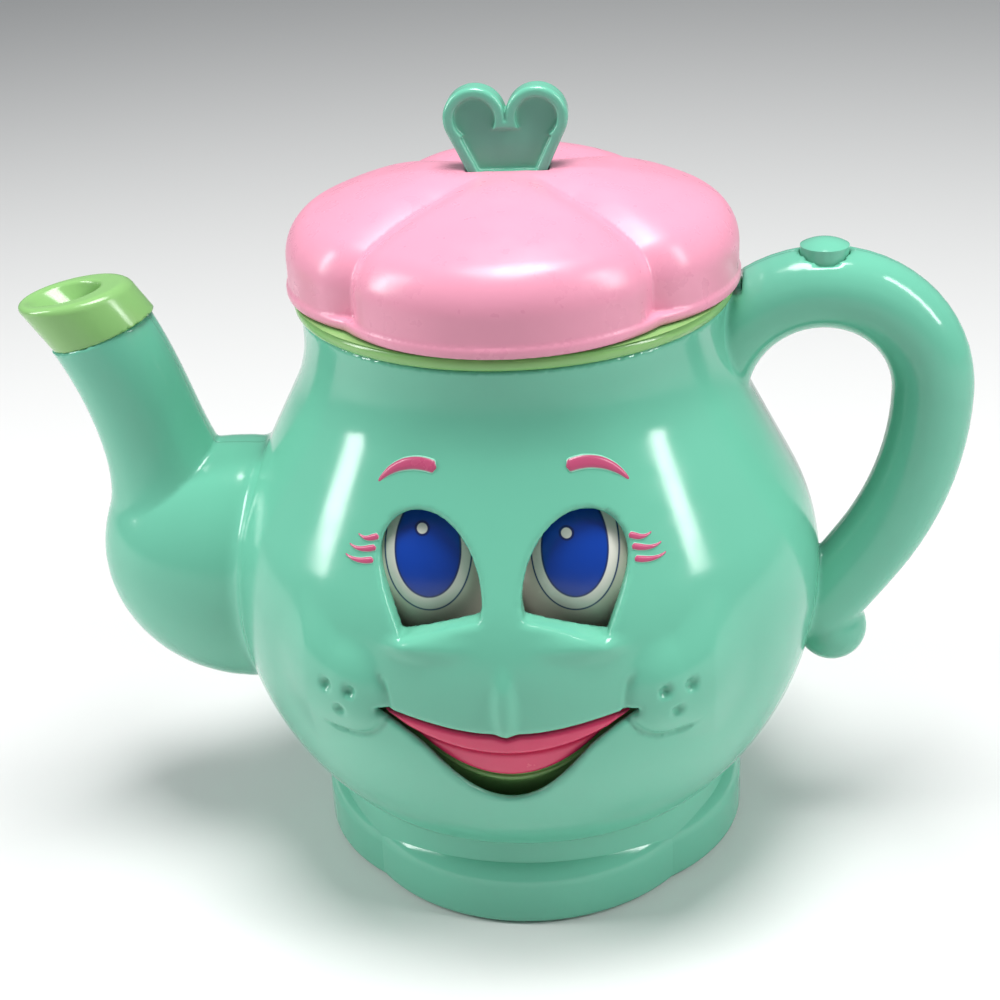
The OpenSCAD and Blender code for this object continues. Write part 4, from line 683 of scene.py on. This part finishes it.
def tip_field(x, y, z):
    dx, dz = x - SPOUT_TOP[0], z - SPOUT_TOP[1]
    h = dx * SPOUT_DIR[0] + dz * SPOUT_DIR[1]
    across = dx * SPOUT_DIR[1] - dz * SPOUT_DIR[0]
    r = length(across, y)
    top = dx * -math.sin(MOUTH_TILT) + dz * math.cos(MOUTH_TILT)
    low = (x - TIP_JOINT[0]) * math.sin(JOINT_TILT) - (z - TIP_JOINT[1]) * math.cos(JOINT_TILT)
    d = round_max(r - SPOUT_TOP_R, top + 0 * r, TIP_ROUND)
    d = np.maximum(d, low)
    spigot = np.maximum(r - SPIGOT_R, np.maximum(-(h + TIP_H + SPIGOT_L), h + TIP_H - SPIGOT_LAP))
    d = np.minimum(d, spigot)
    d = smax(d, TIP_BORE - r, 1.0)
    return smax(d, (TIP_ENTRY + 0.5 * (h + TIP_ENTRY_H) - r) * 0.85, 0.8)


pts, quads = mesh_field(tip_field, (-134, -17, 126), (-88, 17, 157), 0.5)
dress(add_mesh("tip_skin", pts, quads), LIME, "pot", "lime_plastic", "spout_tip")


# Lips, rounded where they meet, and the jaw's raised line
LIP_LINE_Z, LIP_RISE, LOWER_LIP_H, LOWER_RISE, LIP_GAP = 61.7, 9.6, 8.4, 23.0, 0.5


def rise(x, amount):
    """Height of a curve that climbs by amount from the middle to the mouth's corners, and its slope."""
    return amount * (2 * x / MOUTH_W) ** 2, amount * 8 * x / MOUTH_W**2


LIP_BACK_R, LIP_PLATE_R, LIP_BOSS_R, LOWER_LIP_R, JAW_R = 70.0, 72.5, 74.2, 72.0, 69.4
LIP_HALF_W, LIP_TOP_Z, MOUTH_GAP, LIPS_Y = 32.0, 74.6, 0.6, -30.0
LINE_DROP, LINE_R, LINE_HALF_W, LINE_FADE, LINE_SINK = 2.6, 0.9, 18.0, 19.0, 0.1


def upper_lip_field(x, y, z):
    rr = length(x, y, z - BELLY_Z)
    up, slope = rise(x, LIP_RISE)
    low = (LIP_LINE_Z + up + LIP_GAP - z) / np.sqrt(1 + slope**2)
    plate = round_max(rr - LIP_PLATE_R, low + 0 * rr, 1.2)
    plate = np.maximum(plate, np.maximum(np.abs(x) - LIP_HALF_W, z - LIP_TOP_Z))
    edge = np.maximum(low, polygon_distance(MOUTH_OUTLINE, x, z) + MOUTH_GAP)
    boss = round_max(rr - LIP_BOSS_R, edge + 0 * rr, 1.3)
    d = np.maximum(np.minimum(plate, boss), LIP_BACK_R - rr)
    return np.maximum(d, y - LIPS_Y)


def lower_lip_field(x, y, z):
    rr = length(x, y, z - BELLY_Z)
    up, slope = rise(x, LIP_RISE)
    top = (z - LIP_LINE_Z - up + LIP_GAP) / np.sqrt(1 + slope**2)
    up, slope = rise(x, LOWER_RISE)
    low = (LIP_LINE_Z - LOWER_LIP_H + up - z) / np.sqrt(1 + slope**2)
    d = round_max(rr - LOWER_LIP_R, np.maximum(top, low) + 0 * rr, 1.8)
    d = np.maximum(d, JAW_R - rr)
    return np.maximum(d, y - LIPS_Y)


def jaw_line_field(x, y, z):
    rr = length(x, y, z - BELLY_Z)
    up, slope = rise(x, LOWER_RISE)
    across = (LIP_LINE_Z - LOWER_LIP_H - LINE_DROP + up - z) / np.sqrt(1 + slope**2)
    thin = np.sqrt(np.clip(1 - (x / LINE_FADE) ** 2, 0.05, 1.0))
    d = length(across + 0 * rr, rr - JAW_R + LINE_SINK) - LINE_R * thin
    return np.maximum(np.maximum(d, np.abs(x) - LINE_HALF_W), y - LIPS_Y)


pts, quads = mesh_field(upper_lip_field, (-34, -76, 58), (34, -55, 79), 0.5)
dress(add_mesh("upper_lip_skin", pts, quads), HOT, "pot", "hot_pink_plastic", "upper_lip")
pts, quads = mesh_field(lower_lip_field, (-25, -75, 52), (25, -60, 72), 0.5)
dress(add_mesh("lower_lip_skin", pts, quads), HOT, "jaw", "hot_pink_plastic", "lower_lip")
pts, quads = mesh_field(jaw_line_field, (-21, -73, 48), (21, -58, 66), 0.4)
dress(add_mesh("jaw_line", pts, quads), LIME, "jaw", "lime_plastic")


# Brows and lashes: raised strokes on the pot's front
def pot_radius(z):
    if z < BELLY_Z:
        return math.sqrt(max(BELLY_R**2 - (z - BELLY_Z) ** 2, 0.0))
    if z < FLANK_LOW[1]:
        return SHOULDER_C[0] + math.sqrt(SHOULDER_R**2 - (z - BELLY_Z) ** 2)
    if z < FLANK_HIGH[1]:
        f = (z - FLANK_LOW[1]) / (FLANK_HIGH[1] - FLANK_LOW[1])
        return FLANK_LOW[0] + (FLANK_HIGH[0] - FLANK_LOW[0]) * f
    return NECK_C[0] - math.sqrt(NECK_ARC**2 - (z - NECK_Z) ** 2)


def on_front(x, z, out):
    r = pot_radius(z)
    slope = (pot_radius(z + 0.1) - pot_radius(z - 0.1)) / 0.2
    y = -math.sqrt(max(r * r - x * x, 0.0))
    n = Vector((x / r, y / r, -slope)).normalized()
    return (x + n.x * out, y + n.y * out, z + n.z * out)


def stroke(name, path, widths, height, material, slot):
    """A raised stroke along a path across and up, round in section and closed at its ends."""
    n, m = 33, 13
    t = np.linspace(0, 1, n)
    line = bezier(path, t)
    way = np.gradient(line, axis=0)
    way /= np.hypot(way[:, 0], way[:, 1])[:, None]
    side = np.stack([-way[:, 1], way[:, 0]], -1)
    w = np.interp(t, np.linspace(0, 1, len(widths)), widths)
    w = w * np.sqrt(np.clip(1 - (1 - np.clip(t / 0.06, 0, 1)) ** 2, 0.02, 1))
    w = w * np.sqrt(np.clip(1 - (1 - np.clip((1 - t) / 0.06, 0, 1)) ** 2, 0.02, 1))
    pts, edge = [], []
    for i in range(n):
        for j in range(m):
            u = -1 + 2 * j / (m - 1)
            p = line[i] + side[i] * u * w[i] / 2
            lift = (1 - abs(u) ** 3) * height * min(1.0, w[i] / max(widths) * 1.6) - 0.12
            pts.append(on_front(p[0], p[1], lift))
            edge.append(abs(u))
    for i in range(n):
        for j in range(m):
            u = -1 + 2 * j / (m - 1)
            p = line[i] + side[i] * u * w[i] / 2
            pts.append(on_front(p[0], p[1], -0.5))
            edge.append(1.0)
    k = n * m
    faces = []
    for i in range(n - 1):
        for j in range(m - 1):
            a = i * m + j
            faces.append((a, a + 1, a + m + 1, a + m))
            faces.append((k + a, k + a + m, k + a + m + 1, k + a + 1))
    for i in range(n - 1):
        for j in (0, m - 1):
            a = i * m + j
            f = (a, a + m, k + a + m, k + a)
            faces.append(f if j == 0 else f[::-1])
    for j in range(m - 1):
        for i in (0, n - 1):
            a = i * m + j
            f = (a, k + a, k + a + 1, a + 1)
            faces.append(f if i == 0 else f[::-1])
    ob = add_mesh(name, np.array(pts), faces)
    att = ob.data.attributes.new("edge", "FLOAT", "POINT")
    att.data.foreach_set("value", np.array(edge, np.float32))
    return dress(ob, material, "pot", slot)


STROKE = plastic("stroke", (0.50, 0.075, 0.17), rough=0.25)


def painted_edge_highlight(m):
    """Painted highlight round a raised stroke: its print gives way at the edge to a rim in a lightened copy
    of the shell's mint, standing for light caught on the edge.
    """
    nt = m.node_tree
    b = nt.nodes["Principled BSDF"]
    base = b.inputs["Base Color"].links[0].from_socket
    att = nt.nodes.new("ShaderNodeAttribute")
    att.attribute_name = "edge"
    step = nt.nodes.new("ShaderNodeMapRange")
    step.inputs["From Min"].default_value = 0.70
    step.inputs["From Max"].default_value = 0.86
    nt.links.new(att.outputs["Fac"], step.inputs["Value"])
    mix = nt.nodes.new("ShaderNodeMix")
    mix.data_type = "RGBA"
    # painted highlight colour: the shell's mint lightened, laid on the stroke's rim
    mix.inputs["B"].default_value = (0.30, 0.72, 0.55, 1)
    nt.links.new(step.outputs["Result"], mix.inputs["Factor"])
    nt.links.new(base, mix.inputs["A"])
    nt.links.new(mix.outputs["Result"], b.inputs["Base Color"])


# brows and lashes get a painted highlight along their rims
painted_edge_highlight(STROKE)
for side, tag in ((1, "right"), (-1, "left")):

    def sp(points):
        return [(side * x, z) for x, z in points]

    brow = sp([(14.4, 125.0), (19.0, 126.4), (24.2, 124.9), (28.2, 120.3)])
    stroke("brow_" + tag, brow, (3.3, 3.3, 2.9, 2.0, 0.6), 0.75, STROKE, "hot_pink_plastic")
    for i, (x0, z0, x1, z1) in enumerate(
        ((27.9, 109.9, 33.0, 109.4), (28.6, 107.6, 35.2, 107.0), (29.2, 105.1, 36.2, 104.8))
    ):
        lash = sp([(x0, z0), (x0 + 2.0, z0 - 0.7), (x1 - 2.2, z1 - 1.1), (x1, z1)])
        stroke(f"lash_{tag}_{i + 1}", lash, (1.5, 1.6, 1.3, 0.9, 0.4), 0.55, STROKE, "hot_pink_plastic")


# Eyes: printed iris on the eyeballs
def eye_material(name, cx, cz, w, h, dot):
    m = plastic(name, (0.66, 0.63, 0.52), rough=0.22, vary=0.03)
    nt = m.node_tree
    b = nt.nodes["Principled BSDF"]
    colour = b.inputs["Base Color"].links[0].from_socket
    coord = nt.nodes.new("ShaderNodeTexCoord")

    def ellipse(x, z, rx, rz, soft):
        shift = nt.nodes.new("ShaderNodeMapping")
        shift.vector_type = "POINT"
        shift.inputs["Location"].default_value = (-x / rx, 0, -z / rz)
        shift.inputs["Scale"].default_value = (1000.0 / rx, 0, 1000.0 / rz)
        nt.links.new(coord.outputs["Object"], shift.inputs["Vector"])
        size = nt.nodes.new("ShaderNodeVectorMath")
        size.operation = "LENGTH"
        nt.links.new(shift.outputs["Vector"], size.inputs[0])
        edge = nt.nodes.new("ShaderNodeMapRange")
        edge.inputs["From Min"].default_value = 1.0 - soft
        edge.inputs["From Max"].default_value = 1.0 + soft
        edge.inputs["To Min"].default_value = 1.0
        edge.inputs["To Max"].default_value = 0.0
        nt.links.new(size.outputs["Value"], edge.inputs["Value"])
        return edge.outputs["Result"]

    def over(mask, rgb):
        nonlocal colour
        mix = nt.nodes.new("ShaderNodeMix")
        mix.data_type = "RGBA"
        mix.inputs["B"].default_value = (*rgb, 1)
        nt.links.new(mask, mix.inputs["Factor"])
        nt.links.new(colour, mix.inputs["A"])
        colour = mix.outputs["Result"]

    over(ellipse(cx, cz, w * 0.66, h * 0.66, 0.012), (0.012, 0.045, 0.14))
    over(ellipse(cx, cz, w * 0.635, h * 0.642, 0.012), (0.70, 0.70, 0.62))
    over(ellipse(cx, cz, w * 0.50, h * 0.50, 0.012), (0.010, 0.030, 0.14))
    over(ellipse(cx, cz, w * 0.47, h * 0.478, 0.012), (0.003, 0.045, 0.34))
    over(ellipse(dot[0], dot[1], 1.75, 1.40, 0.05), (0.006, 0.02, 0.12))
    over(ellipse(dot[0], dot[1], 1.2, 0.96, 0.06), (0.72, 0.74, 0.66))
    nt.links.new(colour, b.inputs["Base Color"])
    return m


for name, cx, cz, dot in (
    ("left_eye", 15.9, 106.7, (14.1, 110.0)),
    ("right_eye", -17.0, 106.7, (-18.2, 111.0)),
):
    me = nodes[name].data
    me.materials.clear()
    me.materials.append(eye_material(name + "_print", cx, cz, 15.2, 20.6, dot))
